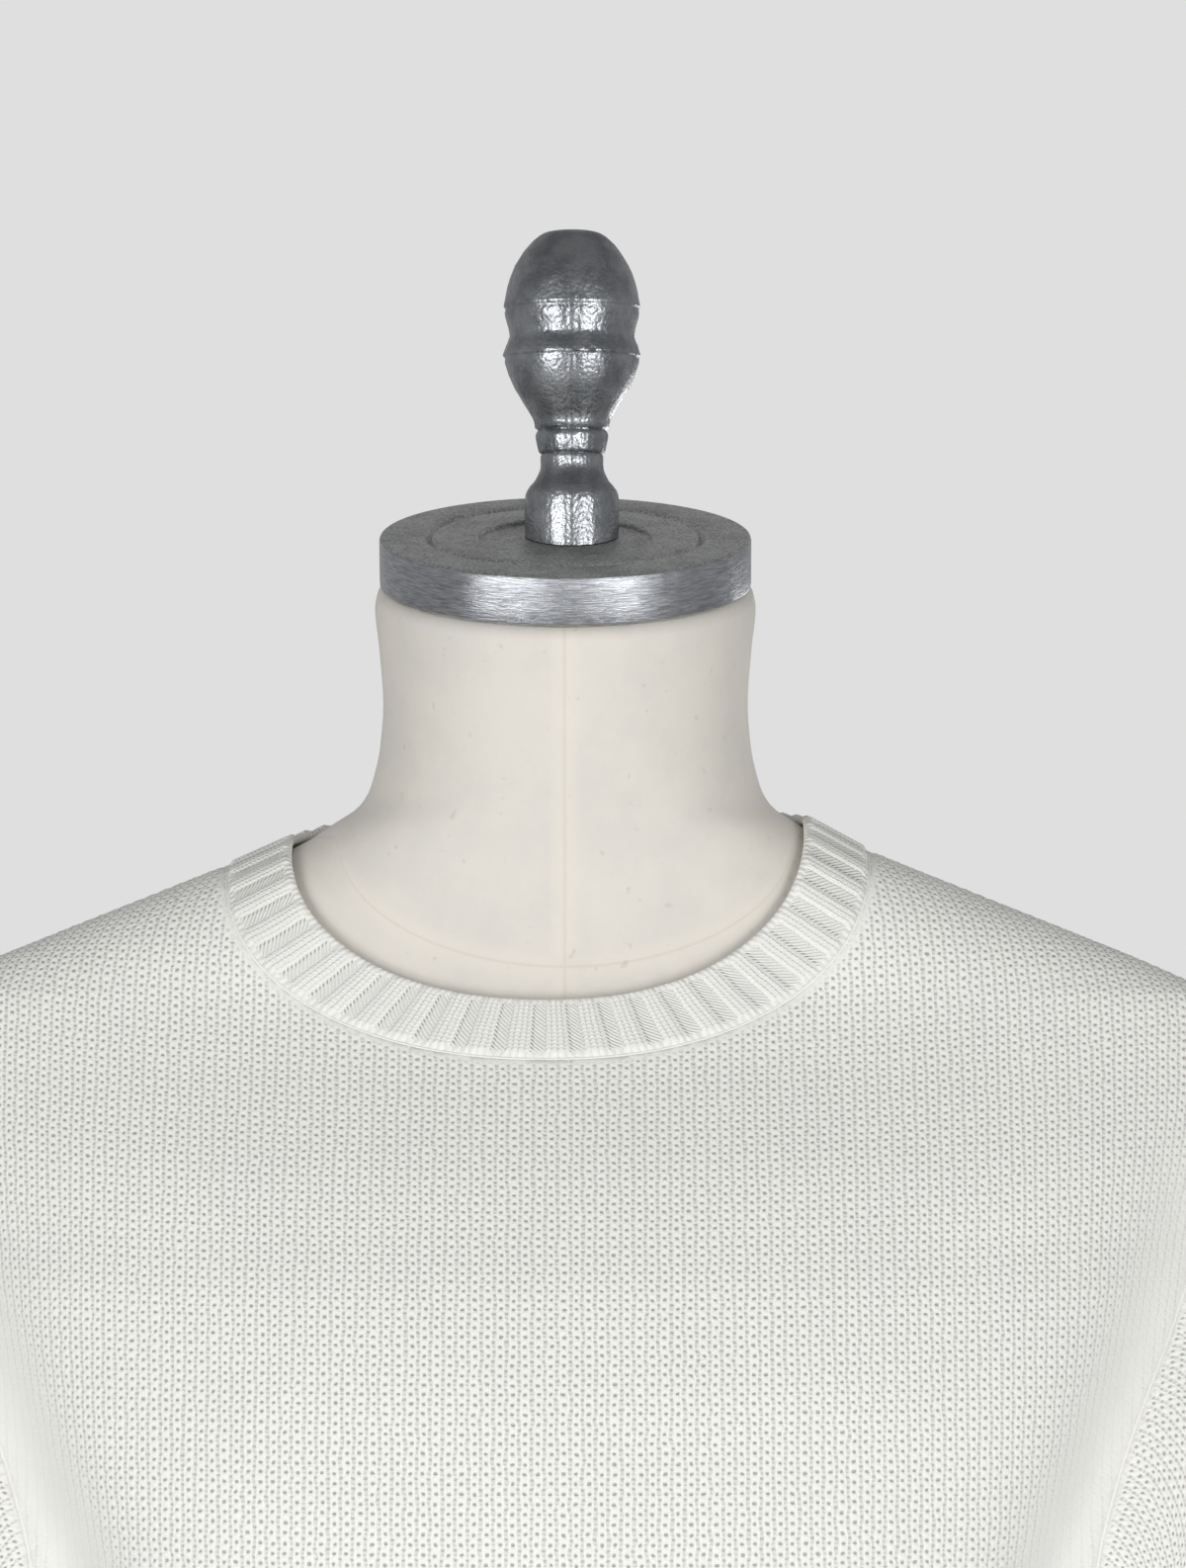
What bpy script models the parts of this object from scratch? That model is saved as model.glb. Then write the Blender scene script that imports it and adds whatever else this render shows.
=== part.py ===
"""A crew neck sweater of off-white knit, resting on a limbless dress form with a metal neck cap.

Metres, +Z up, the front faces -Y, the origin is under the middle of the foot plate.
Every panel is a wall that follows one draped surface. That surface is a stack of
horizontal sections, each made of two half superellipses that meet at the side seams.
"""

import math

import bmesh
import bpy
import numpy as np

# Driving dimensions, in metres.
MM = 0.001
NECK_LEVEL = 0.890         # height of the neck's foot above the floor; tables count from here
CLOTH = 2.0 * MM           # wall of the knitted panels and sleeves
SEAM_GAP = 0.3 * MM        # between two sewn pieces
BAND_WALL = 2.6 * MM       # wall of the ribbed band between its ribs
RIB_RISE = 1.3 * MM        # how far a rib of the neckband stands out
CUFF_RIB_RISE = 1.0 * MM   # how far a rib of the cuffs and the hem stands out

# Garment levels, in millimetres from NECK_LEVEL.
HEM_BOTTOM = -705.0
HEM_TOP = -645.0
ARMHOLE_SIDE = -318.0      # where the side seam ends, under the arm
ARMHOLE_TURN = -281.0      # where the armhole's flat bottom turns up
SHOULDER_POINT = -71.6     # outer end of the shoulder seam

# The neckline's two loops, in millimetres: it sits a little to one side on the form.
NECK_SHIFT = -5.9
SEAM_HALF_WIDTH = 109.0
SEAM_FRONT, SEAM_BACK = -92.5, -22.0
EDGE_HALF_WIDTH = 87.4
EDGE_FRONT, EDGE_BACK = -72.6, -2.0
NECK_SQUARENESS = 2.2

# Grid counts of the panels.
NECK_COLUMNS = 6           # from the centre line to the neck point
UPPER_COLUMNS = 11         # from the centre line to the armhole
PANEL_COLUMNS = 15         # from the centre line to the side seam
LOWER_ROWS = 6             # from the hem to the armhole's turn
UPPER_ROWS = 10            # from there to the neckline and the shoulder seam
ROW_CROWDING = 1.7         # rows crowd towards the shoulder seam
COLUMN_CROWDING = 1.2      # the neckline's columns crowd towards the neck point

# How finely the surfaces are measured while the panels are laid out on them.
NORMAL_STEPS = (0.8, 0.4)  # degrees round and millimetres up, for a normal
ARC_SAMPLES = 61           # places from a centre line to a side seam
ARMHOLE_SAMPLES = 240      # places along an armhole
ARMHOLE_STEPS = 200        # even steps that the yoke's rows choose from
HALVINGS = 50              # of the search for a level by its width

# The sweater's outer surface. rise: mm from NECK_LEVEL; half_width: at the side seam;
# front, back: y on the centre line; side: y of the side seam; fullness: 2 is an ellipse.
SWEATER_SECTIONS = (
    # rise, half_width, front, back, side, fullness
    (6.0, 70.0, -49.0, 90.0, 18.0, 2.0),
    (-2.0, 74.0, -47.0, 92.0, 18.0, 1.95),
    (-8.0, 77.7, -45.5, 94.0, 17.5, 1.9),
    (-13.0, 85.0, -44.0, 96.0, 16.5, 1.85),
    (-18.0, 93.5, -43.0, 98.0, 15.5, 1.8),
    (-23.0, 104.0, -42.0, 100.0, 14.5, 1.8),
    (-27.6, 115.0, -41.5, 101.5, 13.5, 1.8),
    (-35.6, 135.0, -40.0, 104.0, 12.5, 1.8),
    (-43.6, 155.0, -39.2, 106.0, 11.5, 1.82),
    (-51.6, 175.0, -38.8, 108.0, 10.5, 1.86),
    (-59.7, 195.0, -38.6, 109.5, 9.5, 1.92),
    (-67.7, 213.0, -38.9, 111.0, 8.5, 2.0),
    (-71.6, 221.0, -39.6, 111.7, 8.0, 2.05),
    (-78.0, 226.0, -42.5, 112.7, 7.5, 2.1),
    (-92.0, 229.0, -51.5, 114.5, 7.0, 2.2),
    (-110.0, 229.0, -66.0, 116.0, 6.0, 2.25),
    (-130.0, 226.0, -82.0, 117.5, 5.0, 2.3),
    (-150.0, 222.0, -95.5, 118.0, 3.5, 2.3),
    (-170.0, 218.5, -107.5, 118.3, 2.0, 2.35),
    (-208.0, 211.0, -123.5, 118.0, -1.0, 2.35),
    (-250.0, 202.0, -133.5, 117.0, -4.0, 2.35),
    (-290.0, 194.5, -137.0, 115.0, -6.0, 2.35),
    (-320.0, 191.0, -136.5, 113.5, -6.0, 2.35),
    (-400.0, 186.0, -131.0, 109.0, -6.0, 2.32),
    (-480.0, 183.0, -125.0, 107.5, -5.0, 2.3),
    (-560.0, 185.0, -123.5, 111.5, -4.0, 2.3),
    (-610.0, 186.0, -122.5, 114.0, -3.0, 2.3),
    (-645.0, 181.0, -118.0, 111.5, -3.0, 2.3),
    (-675.0, 178.5, -115.0, 110.0, -3.0, 2.3),
    (-705.0, 177.0, -114.0, 109.5, -3.0, 2.3),
)

# The dress form under it. lean: how many degrees the ring dips towards the front.
FORM_SECTIONS = (
    # rise, half_width, front, back, side, fullness, lean
    (67.2, 61.0, -58.5, 59.0, 0.2, 2.0, 16.0),
    (65.8, 63.6, -61.0, 61.8, 0.6, 2.0, 16.0),
    (60.0, 64.8, -60.0, 64.6, 2.3, 2.0, 15.5),
    (48.0, 63.6, -55.5, 67.0, 5.7, 2.0, 14.0),
    (28.0, 62.3, -49.5, 72.0, 11.5, 2.0, 11.0),
    (13.0, 63.5, -46.0, 77.5, 15.8, 2.0, 8.0),
    (3.0, 65.7, -44.0, 81.0, 18.0, 2.0, 5.0),
    (-2.0, 67.3, -42.8, 82.8, 18.0, 2.0, 3.5),
    (-7.4, 70.8, -41.5, 84.5, 17.5, 2.0, 2.0),
    (-13.0, 74.2, -40.0, 87.0, 17.0, 1.95, 1.0),
    (-18.0, 77.5, -38.6, 89.0, 16.0, 1.9, 0.0),
    (-24.0, 87.5, -37.0, 91.5, 15.0, 1.85, 0.0),
    (-30.0, 100.0, -35.6, 94.0, 13.8, 1.8, 0.0),
    (-38.6, 126.0, -34.4, 97.0, 12.7, 1.8, 0.0),
    (-45.4, 150.0, -33.5, 99.5, 11.5, 1.82, 0.0),
    (-55.4, 175.0, -33.0, 102.5, 10.2, 1.88, 0.0),
    (-63.6, 194.0, -33.0, 104.5, 9.2, 1.95, 0.0),
    (-69.0, 201.0, -33.4, 106.0, 8.5, 2.0, 0.0),
    (-78.0, 205.0, -36.5, 108.0, 7.8, 2.1, 0.0),
    (-92.0, 206.0, -45.5, 110.0, 7.0, 2.2, 0.0),
    (-110.0, 205.0, -60.0, 111.7, 6.0, 2.25, 0.0),
    (-130.0, 203.0, -76.5, 113.0, 5.0, 2.3, 0.0),
    (-150.0, 200.0, -90.5, 113.6, 3.5, 2.3, 0.0),
    (-170.0, 196.5, -102.5, 114.0, 2.0, 2.35, 0.0),
    (-208.0, 189.0, -119.0, 113.7, -1.0, 2.35, 0.0),
    (-250.0, 184.0, -129.3, 112.6, -4.0, 2.35, 0.0),
    (-290.0, 182.0, -132.8, 110.6, -6.0, 2.35, 0.0),
    (-320.0, 181.0, -131.5, 108.5, -6.0, 2.35, 0.0),
    (-400.0, 169.0, -115.0, 96.0, -6.0, 2.3, 0.0),
    (-480.0, 158.0, -98.0, 84.0, -5.0, 2.25, 0.0),
    (-560.0, 166.0, -104.0, 95.0, -4.0, 2.25, 0.0),
    (-610.0, 169.5, -106.5, 100.5, -3.0, 2.3, 0.0),
    (-645.0, 169.5, -106.5, 101.0, -3.0, 2.3, 0.0),
    (-705.0, 167.0, -105.0, 100.5, -3.0, 2.3, 0.0),
    (-735.0, 165.5, -104.0, 100.0, -3.0, 2.3, 0.0),
    (-744.0, 158.0, -98.0, 95.0, -3.0, 2.3, 0.0),
)
FORM_SIDES = 32            # points round a ring of the form

# The long fold that falls from the shoulder point along the armhole.
ARM_FOLD_WIDTH = 15.0      # mm, half the width of the trough
ARM_FOLD = (
    # rise, offset from the centre line, depth
    (-105.0, 216.0, 0.0),
    (-150.0, 204.0, 8.0),
    (-200.0, 185.0, 13.0),
    (-260.0, 159.0, 14.0),
    (-310.0, 142.0, 8.0),
    (-360.0, 132.0, 0.0),
)

# The armhole on the front and the back. angle: round the section, 0 is the centre line.
ARMHOLE_FRONT = (
    # rise, angle
    (-71.6, 90.0),
    (-83.0, 82.0),
    (-105.0, 77.0),
    (-130.0, 74.5),
    (-155.0, 71.5),
    (-184.0, 66.9),
    (-208.0, 62.5),
    (-232.0, 59.6),
    (-256.0, 58.2),
    (-281.0, 60.5),
    (-298.0, 68.0),
    (-310.0, 78.0),
    (-318.0, 90.0),
)
ARMHOLE_BACK = (
    # rise, angle
    (-71.6, 90.0),
    (-83.0, 83.0),
    (-105.0, 79.0),
    (-130.0, 76.5),
    (-155.0, 74.0),
    (-184.0, 70.5),
    (-208.0, 67.5),
    (-232.0, 65.0),
    (-256.0, 63.5),
    (-281.0, 64.0),
    (-298.0, 70.0),
    (-310.0, 79.0),
    (-318.0, 90.0),
)

# A sleeve hangs empty beside the body. Its rings are ovals, in millimetres.
SLEEVE_RINGS = (
    # rise, middle_x, middle_y, half_across, half_deep
    (-335.0, 239.5, -4.0, 43.0, 69.0),
    (-380.0, 239.5, -6.0, 41.5, 66.5),
    (-430.0, 239.0, -9.0, 39.5, 62.0),
    (-480.0, 238.0, -12.0, 37.5, 57.5),
    (-530.0, 236.5, -13.0, 35.5, 53.5),
    (-580.0, 235.0, -13.0, 33.5, 49.5),
    (-615.0, 234.0, -12.5, 32.0, 46.5),
    (-637.0, 233.5, -12.0, 28.5, 40.5),
)
CUFF_RINGS = (
    # rise, middle_x, middle_y, half_across, half_deep
    (-637.0, 233.5, -12.0, 28.5, 40.5),
    (-667.0, 233.0, -11.5, 26.5, 37.5),
    (-697.0, 232.5, -11.0, 26.0, 37.0),
)
HEAD_RINGS = 7             # rings of the sleeve head, from the armhole to the first oval
SLEEVE_TURN = 0.5          # how far the sleeve first heads forwards or back
SLEEVE_FALL = -0.4         # how far its top first heads down

# The neckband's rows. share: 0 at the seam, 1 at the folded edge; lift: mm over the plane
# between them; rib: 1 where the ribs stand out in full.
BAND_ROWS = (
    # share, lift, rib
    (0.0, 0.0, 0.0),
    (0.10, 0.4, 1.0),
    (0.88, 0.4, 1.0),
    (1.0, -0.8, 0.0),
)
BAND_INNER_SHARE = 0.96    # how far the inside reaches towards the folded edge

# Ribs.
NECK_RIBS = 50
HEM_RIBS = 54              # on each of the front and the back
CUFF_RIBS = 22

# Neck cap, knob, pole and foot plate, in metres.
CAP_LEAN = math.radians(16.0)
CAP_MIDDLE = (0.0, -4.0 * MM, NECK_LEVEL + 84.3 * MM)
CAP_PROFILE = (
    # radius, height over the cap's top face, from the outer bottom edge to the middle
    (62.4, -17.2),
    (63.2, -16.4),
    (63.2, -1.0),
    (62.4, 0.0),
    (47.0, 0.0),
    (46.0, -1.0),
    (45.0, -0.2),
    (30.0, -0.2),
    (29.4, -0.8),
    (29.2, -1.7),
)
CAP_SIDES = 48
KNOB_MIDDLE = (2.2 * MM, 4.0 * MM)
KNOB_PROFILE = (
    # radius, height over NECK_LEVEL, from the top down
    (8.4, 188.3),
    (13.1, 185.5),
    (16.5, 181.6),
    (20.4, 174.5),
    (22.5, 167.4),
    (23.2, 162.5),
    (22.7, 159.3),
    (21.3, 153.2),
    (22.3, 149.8),
    (23.3, 146.0),
    (22.1, 141.3),
    (19.3, 134.6),
    (16.4, 129.9),
    (13.3, 124.7),
    (12.1, 120.4),
    (12.3, 117.6),
    (11.3, 113.8),
    (10.6, 109.1),
    (11.6, 105.3),
    (14.1, 101.7),
    (15.8, 98.6),
    (16.0, 95.0),
    (16.0, 92.0),
)
KNOB_SIDES = 24
KNOB_FOOT_RADIUS = 16.0 * MM
POLE_RADIUS = 14.0 * MM
POLE_SIDES = 24
FOOT_RADIUS = 0.170
FOOT_THICKNESS = 0.014
FOOT_EDGE = 0.003
FOOT_SIDES = 48


def smooth_columns(levels, columns, at):
    """Read every column of a table at one level, with a monotone cubic between the rows."""
    at = min(max(at, levels[0]), levels[-1])
    row = min(int(np.searchsorted(levels, at, side="right")) - 1, len(levels) - 2)
    row = max(row, 0)
    span = levels[row + 1] - levels[row]
    part = (at - levels[row]) / span

    def tangent(index):
        if index == 0 or index == len(levels) - 1:
            step = 0 if index == 0 else index - 1
            return (columns[step + 1] - columns[step]) / (levels[step + 1] - levels[step])
        before = (columns[index] - columns[index - 1]) / (levels[index] - levels[index - 1])
        after = (columns[index + 1] - columns[index]) / (levels[index + 1] - levels[index])
        product = before * after
        total = before + after
        safe = np.where(product > 0.0, total, 1.0)
        return np.where(product > 0.0, 2.0 * product / safe, 0.0)

    low, high = columns[row], columns[row + 1]
    return (
        low * (2 * part**3 - 3 * part**2 + 1)
        + tangent(row) * span * (part**3 - 2 * part**2 + part)
        + high * (3 * part**2 - 2 * part**3)
        + tangent(row + 1) * span * (part**3 - part**2)
    )


class Table:
    """Rows of a driving table, read smoothly at any level."""

    def __init__(self, rows):
        ordered = np.array(sorted(rows), float)
        self.levels = ordered[:, 0]
        self.columns = ordered[:, 1:]
        self.seen = {}

    def at(self, level):
        key = round(float(level), 4)
        if key not in self.seen:
            self.seen[key] = smooth_columns(self.levels, self.columns, key)
        return self.seen[key]


ARM_FOLD_TABLE = Table(ARM_FOLD)


def arm_fold(x, level, angle):
    """How far the cloth dips back at the armhole fold, in millimetres."""
    if level > ARM_FOLD[0][0] or level < ARM_FOLD[-1][0] or abs(angle) > 90.0:
        return 0.0
    offset, depth = ARM_FOLD_TABLE.at(level)
    away = (abs(x) - offset) / ARM_FOLD_WIDTH
    towards_side = max(math.cos(math.radians(angle)), 0.0) ** 0.5
    return depth * math.exp(-away * away) * towards_side


class Surface:
    """The stack of sections: angle 0 is the front centre line, 90 the side, 180 the back."""

    def __init__(self, rows):
        self.table = Table(rows)
        self.arcs = {}

    def section(self, level):
        return self.table.at(level)

    def point(self, angle, level):
        values = self.section(level)
        half_width, front, back, side, fullness = values[:5]
        lean = values[5] if len(values) > 5 else 0.0
        turn = math.radians(angle)
        power = 2.0 / fullness
        x = half_width * math.copysign(abs(math.sin(turn)) ** power, math.sin(turn))
        reach = abs(math.cos(turn)) ** power
        if math.cos(turn) >= 0.0:
            y = side - (side - front) * reach
        else:
            y = side + (back - side) * reach
        y += arm_fold(x, level, angle)
        z = level + (y - side) * math.tan(math.radians(lean))
        return np.array((x * MM, y * MM, z * MM + NECK_LEVEL))

    def normal(self, angle, level):
        step_angle, step_level = NORMAL_STEPS
        round_it = self.point(angle + step_angle, level) - self.point(angle - step_angle, level)
        up_it = self.point(angle, level + step_level) - self.point(angle, level - step_level)
        facing = np.cross(round_it, up_it)
        return facing / np.linalg.norm(facing)

    def angle_at(self, x, level):
        """The angle, 0 to 90, where the section is x wide."""
        half_width, _, _, _, fullness = self.section(level)[:5]
        share = min(abs(x) / half_width, 1.0)
        return math.degrees(math.asin(min(share ** (fullness / 2.0), 1.0)))

    def level_of_width(self, x):
        """The level above the shoulder point where the side seam is x away from the middle."""
        low, high = SHOULDER_POINT, SWEATER_SECTIONS[0][0]
        for _ in range(HALVINGS):
            middle = (low + high) / 2.0
            if self.section(middle)[0] > abs(x):
                low = middle
            else:
                high = middle
        return (low + high) / 2.0

    def arc(self, level, backwards):
        """Angles from the centre line to the side and the length walked up to each."""
        key = (round(float(level), 3), backwards)
        if key not in self.arcs:
            angles = np.linspace(0.0, 90.0, ARC_SAMPLES)
            places = [self.point(180.0 - a if backwards else a, level) for a in angles]
            steps = np.linalg.norm(np.diff(places, axis=0), axis=1)
            self.arcs[key] = (angles, np.concatenate(([0.0], np.cumsum(steps))))
        return self.arcs[key]

    def along(self, angle, level, backwards):
        angles, lengths = self.arc(level, backwards)
        return float(np.interp(angle, angles, lengths))

    def angle_along(self, length, level, backwards):
        angles, lengths = self.arc(level, backwards)
        return float(np.interp(length, lengths, angles))


SWEATER = Surface(SWEATER_SECTIONS)
FORM = Surface(FORM_SECTIONS)


def unit(vector):
    return vector / np.linalg.norm(vector)


def neck_loop(turn, half_width, front_level, back_level, side):
    """A point of a neckline loop: turn 0 is the front, 90 the shoulder, 180 the back."""
    edge_x = NECK_SHIFT + side * half_width
    side_level = SWEATER.level_of_width(edge_x)
    radians = math.radians(turn)
    power = 2.0 / NECK_SQUARENESS
    x = NECK_SHIFT + side * half_width * abs(math.sin(radians)) ** power
    if turn <= 90.0:
        level = side_level - (side_level - front_level) * abs(math.cos(radians)) ** power
    else:
        level = side_level + (back_level - side_level) * math.cos(radians) ** 2
    angle = SWEATER.angle_at(x, level)
    if turn > 90.0:
        angle = 180.0 - angle
    return math.copysign(angle, x), level


def neck_turn(column):
    """How far round the neckline a column's end lies: the columns crowd at the shoulder."""
    return 90.0 * (1.0 - (1.0 - abs(column) / NECK_COLUMNS) ** COLUMN_CROWDING)


def armhole_points(backwards, count, lowest, highest):
    """Angle and level of points spaced evenly along a stretch of the armhole."""
    table = Table(ARMHOLE_BACK if backwards else ARMHOLE_FRONT)
    levels = np.linspace(lowest, highest, ARMHOLE_SAMPLES)
    angles = [float(table.at(level)[0]) for level in levels]
    places = [SWEATER.point(180.0 - a if backwards else a, v) for a, v in zip(angles, levels)]
    lengths = np.concatenate(([0.0], np.cumsum(np.linalg.norm(np.diff(places, axis=0), axis=1))))
    wanted = np.linspace(0.0, lengths[-1], count + 1)
    found = np.interp(wanted, lengths, levels)
    return [(float(table.at(level)[0]), float(level)) for level in found]


def row_share(row):
    """How far up the yoke a row lies, 0 to 1, crowded towards the shoulder seam."""
    return 1.0 - (1.0 - row / UPPER_ROWS) ** ROW_CROWDING


def half_panel(backwards, side):
    """One half of the front or the back: {(row, column): (angle, level)}."""
    cells = {}

    def to_length(angle, level):
        return SWEATER.along(angle, level, backwards)

    bottom_curve = armhole_points(
        backwards, PANEL_COLUMNS - UPPER_COLUMNS, ARMHOLE_SIDE, ARMHOLE_TURN
    )[::-1]
    turn_angle = bottom_curve[0][0]
    turn_length = to_length(turn_angle, ARMHOLE_TURN)
    top_row = []
    for column in range(UPPER_COLUMNS + 1):
        top_row.append((turn_length * column / UPPER_COLUMNS, ARMHOLE_TURN))
    for angle, level in bottom_curve[1:]:
        top_row.append((to_length(angle, level), level))
    for column, (length, level) in enumerate(top_row):
        share = length / to_length(90.0, level)
        for row in range(LOWER_ROWS + 1):
            height = HEM_TOP + (level - HEM_TOP) * row / LOWER_ROWS
            blend = row / LOWER_ROWS
            even = column / PANEL_COLUMNS
            wanted = (even + (share - even) * blend) * to_length(90.0, height)
            if column == PANEL_COLUMNS:
                cells[row, column] = (90.0, height)
            else:
                cells[row, column] = (SWEATER.angle_along(wanted, height, backwards), height)

    # The yoke: a patch between the armhole's turn, the armhole, the neckline and the shoulder.
    neck_level = SEAM_BACK if backwards else SEAM_FRONT
    top = []
    for column in range(UPPER_COLUMNS + 1):
        if column <= NECK_COLUMNS:
            turn = neck_turn(column)
            if backwards:
                turn = 180.0 - turn
            angle, level = neck_loop(turn, SEAM_HALF_WIDTH, SEAM_FRONT, neck_level, side)
            signed = (180.0 - abs(angle)) if backwards else abs(angle)
            if angle * side < 0.0:
                signed = -signed
        else:
            neck_point = SWEATER.level_of_width(NECK_SHIFT + side * SEAM_HALF_WIDTH)
            share = (column - NECK_COLUMNS) / (UPPER_COLUMNS - NECK_COLUMNS)
            level = neck_point + (SHOULDER_POINT - neck_point) * share
            signed = 90.0
        length = math.copysign(to_length(abs(signed), level), signed)
        top.append(np.array((length, level)))
    outer = []
    arm = armhole_points(backwards, ARMHOLE_STEPS, ARMHOLE_TURN, SHOULDER_POINT)
    for row in range(UPPER_ROWS + 1):
        angle, level = arm[round(ARMHOLE_STEPS * row_share(row))]
        outer.append(np.array((to_length(angle, level), level)))
    inner = []
    for row in range(UPPER_ROWS + 1):
        share = row_share(row)
        inner.append(np.array((top[0][0] * share, ARMHOLE_TURN + (top[0][1] - ARMHOLE_TURN) * share)))
    for row in range(1, UPPER_ROWS + 1):
        share = row_share(row)
        for column in range(UPPER_COLUMNS + 1):
            across = column / UPPER_COLUMNS
            low = np.array(top_row[column])
            patch = (
                low * (1 - share)
                + top[column] * share
                + inner[row] * (1 - across)
                + outer[row] * across
                - np.array(top_row[0]) * (1 - share) * (1 - across)
                - np.array(top_row[UPPER_COLUMNS]) * (1 - share) * across
                - top[0] * share * (1 - across)
                - top[UPPER_COLUMNS] * share * across
            )
            length, level = float(patch[0]), float(patch[1])
            angle = SWEATER.angle_along(abs(length), level, backwards)
            if row == UPPER_ROWS and column >= NECK_COLUMNS:
                angle = 90.0
            cells[LOWER_ROWS + row, column] = (math.copysign(angle, length), level)
    return cells


def sleeve_start(turn, side, backwards):
    """The direction in which the sleeve leaves the armhole: turn 0 is the top, 180 the bottom."""
    radians = math.radians(turn)
    forward = SLEEVE_TURN * math.sin(radians) * (1.0 if backwards else -1.0)
    fall = SLEEVE_FALL * (1.0 + math.cos(radians)) / 2.0
    return unit(np.array((side * 1.0, forward, fall)))


def build_panel(backwards):
    """Outer and inner points and faces of the front or the back, and its shared edges."""
    outer, inner, index = [], [], {}
    halves = {side: half_panel(backwards, side) for side in (-1, 1)}
    seam_shift = np.array((0.0, SEAM_GAP / 2.0 * (1.0 if backwards else -1.0), 0.0))

    def arm_edge(side):
        """Cell keys down the armhole, from the shoulder point to the side seam."""
        down = [(LOWER_ROWS + row, UPPER_COLUMNS) for row in range(UPPER_ROWS, 0, -1)]
        along = [(LOWER_ROWS, column) for column in range(UPPER_COLUMNS, PANEL_COLUMNS + 1)]
        return [(row, side * column) for row, column in down + along]

    def place(side, row, column):
        angle, level = halves[side][row, column]
        full = side * ((180.0 - abs(angle)) if backwards else abs(angle))
        if angle < 0.0:
            full = -full
        return full, level

    for side in (-1, 1):
        for (row, column) in sorted(halves[side]):
            if column == 0 and side == -1:
                continue
            angle, level = place(side, row, column)
            index[row, side * column] = len(outer)
            outer.append(SWEATER.point(angle, level))
            inner.append(-SWEATER.normal(angle, level) * CLOTH)

    # At the armhole the wall's edge halves the angle between the panel and the sleeve.
    arms = {}
    for side in (-1, 1):
        keys = arm_edge(side)
        lengths = [0.0]
        for first, second in zip(keys, keys[1:]):
            lengths.append(lengths[-1] + np.linalg.norm(outer[index[first]] - outer[index[second]]))
        ring = []
        for key, length in zip(keys, lengths):
            row, column = key
            turn = 180.0 * length / lengths[-1]
            here = index[key]
            if row > LOWER_ROWS or column == side * UPPER_COLUMNS:
                before = index[row, column - side]
            else:
                before = index[row - 1, column]
            arriving = unit(outer[here] - outer[before])
            leaving = sleeve_start(turn, side, backwards)
            facing = unit(inner[here]) * -1.0
            between = unit(arriving + leaving)
            facing = unit(facing - between * float(facing @ between))
            spread = 1.0 / max(math.sqrt((1.0 + float(arriving @ leaving)) / 2.0), 0.8)
            inner[here] = -facing * CLOTH * spread
            ring.append((here, between))
        arms[side] = ring

    for (row, column), here in index.items():
        on_side = abs(column) == PANEL_COLUMNS and row <= LOWER_ROWS
        on_shoulder = row == LOWER_ROWS + UPPER_ROWS and abs(column) >= NECK_COLUMNS
        if on_side or on_shoulder:
            outer[here] = outer[here] + seam_shift
            thickness = inner[here]
            thickness[1] = 0.0
            inner[here] = unit(thickness) * CLOTH
    inner = [o + i for o, i in zip(outer, inner)]

    faces = []
    for row in range(LOWER_ROWS + UPPER_ROWS):
        reach = PANEL_COLUMNS if row < LOWER_ROWS else UPPER_COLUMNS
        for column in range(-reach, reach):
            faces.append((
                index[row, column],
                index[row, column + 1],
                index[row + 1, column + 1],
                index[row + 1, column],
            ))
    return {
        "outer": outer,
        "inner": inner,
        "faces": faces,
        "index": index,
        "arms": arms,
    }


def wall_mesh(outer, inner, faces):
    """Close an outer and an inner sheet of the same faces into one solid wall."""
    count = len(outer)
    points = list(outer) + list(inner)
    closed = [tuple(face) for face in faces]
    closed += [tuple(count + corner for corner in reversed(face)) for face in faces]
    edges = {}
    for face in faces:
        for start, end in zip(face, face[1:] + face[:1]):
            edges[start, end] = edges.get((start, end), 0) + 1
    for start, end in edges:
        if (end, start) not in edges:
            closed.append((end, start, count + start, count + end))
    return points, closed


def add_object(name, points, faces, finish, sharp=40.0):
    """Make an object from points and faces, with its faces turned outwards."""
    mesh = bpy.data.meshes.new(name)
    mesh.from_pydata([tuple(float(c) for c in point) for point in points], [], faces)
    work = bmesh.new()
    work.from_mesh(mesh)
    bmesh.ops.recalc_face_normals(work, faces=work.faces)
    if work.calc_volume(signed=True) < 0.0:
        bmesh.ops.reverse_faces(work, faces=work.faces)
    bmesh.ops.triangulate(work, faces=work.faces, quad_method="SHORT_EDGE")
    work.to_mesh(mesh)
    work.free()
    mesh.materials.append(finish)
    mesh.shade_smooth()
    mesh.set_sharp_from_angle(angle=math.radians(sharp))
    made = bpy.data.objects.new(name, mesh)
    bpy.context.scene.collection.objects.link(made)
    return made


def material(name, colour, roughness, metallic=0.0):
    made = bpy.data.materials.new(name)
    made.use_nodes = True
    shader = made.node_tree.nodes["Principled BSDF"]
    shader.inputs["Base Color"].default_value = (*colour, 1.0)
    shader.inputs["Roughness"].default_value = roughness
    shader.inputs["Metallic"].default_value = metallic
    return made


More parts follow.
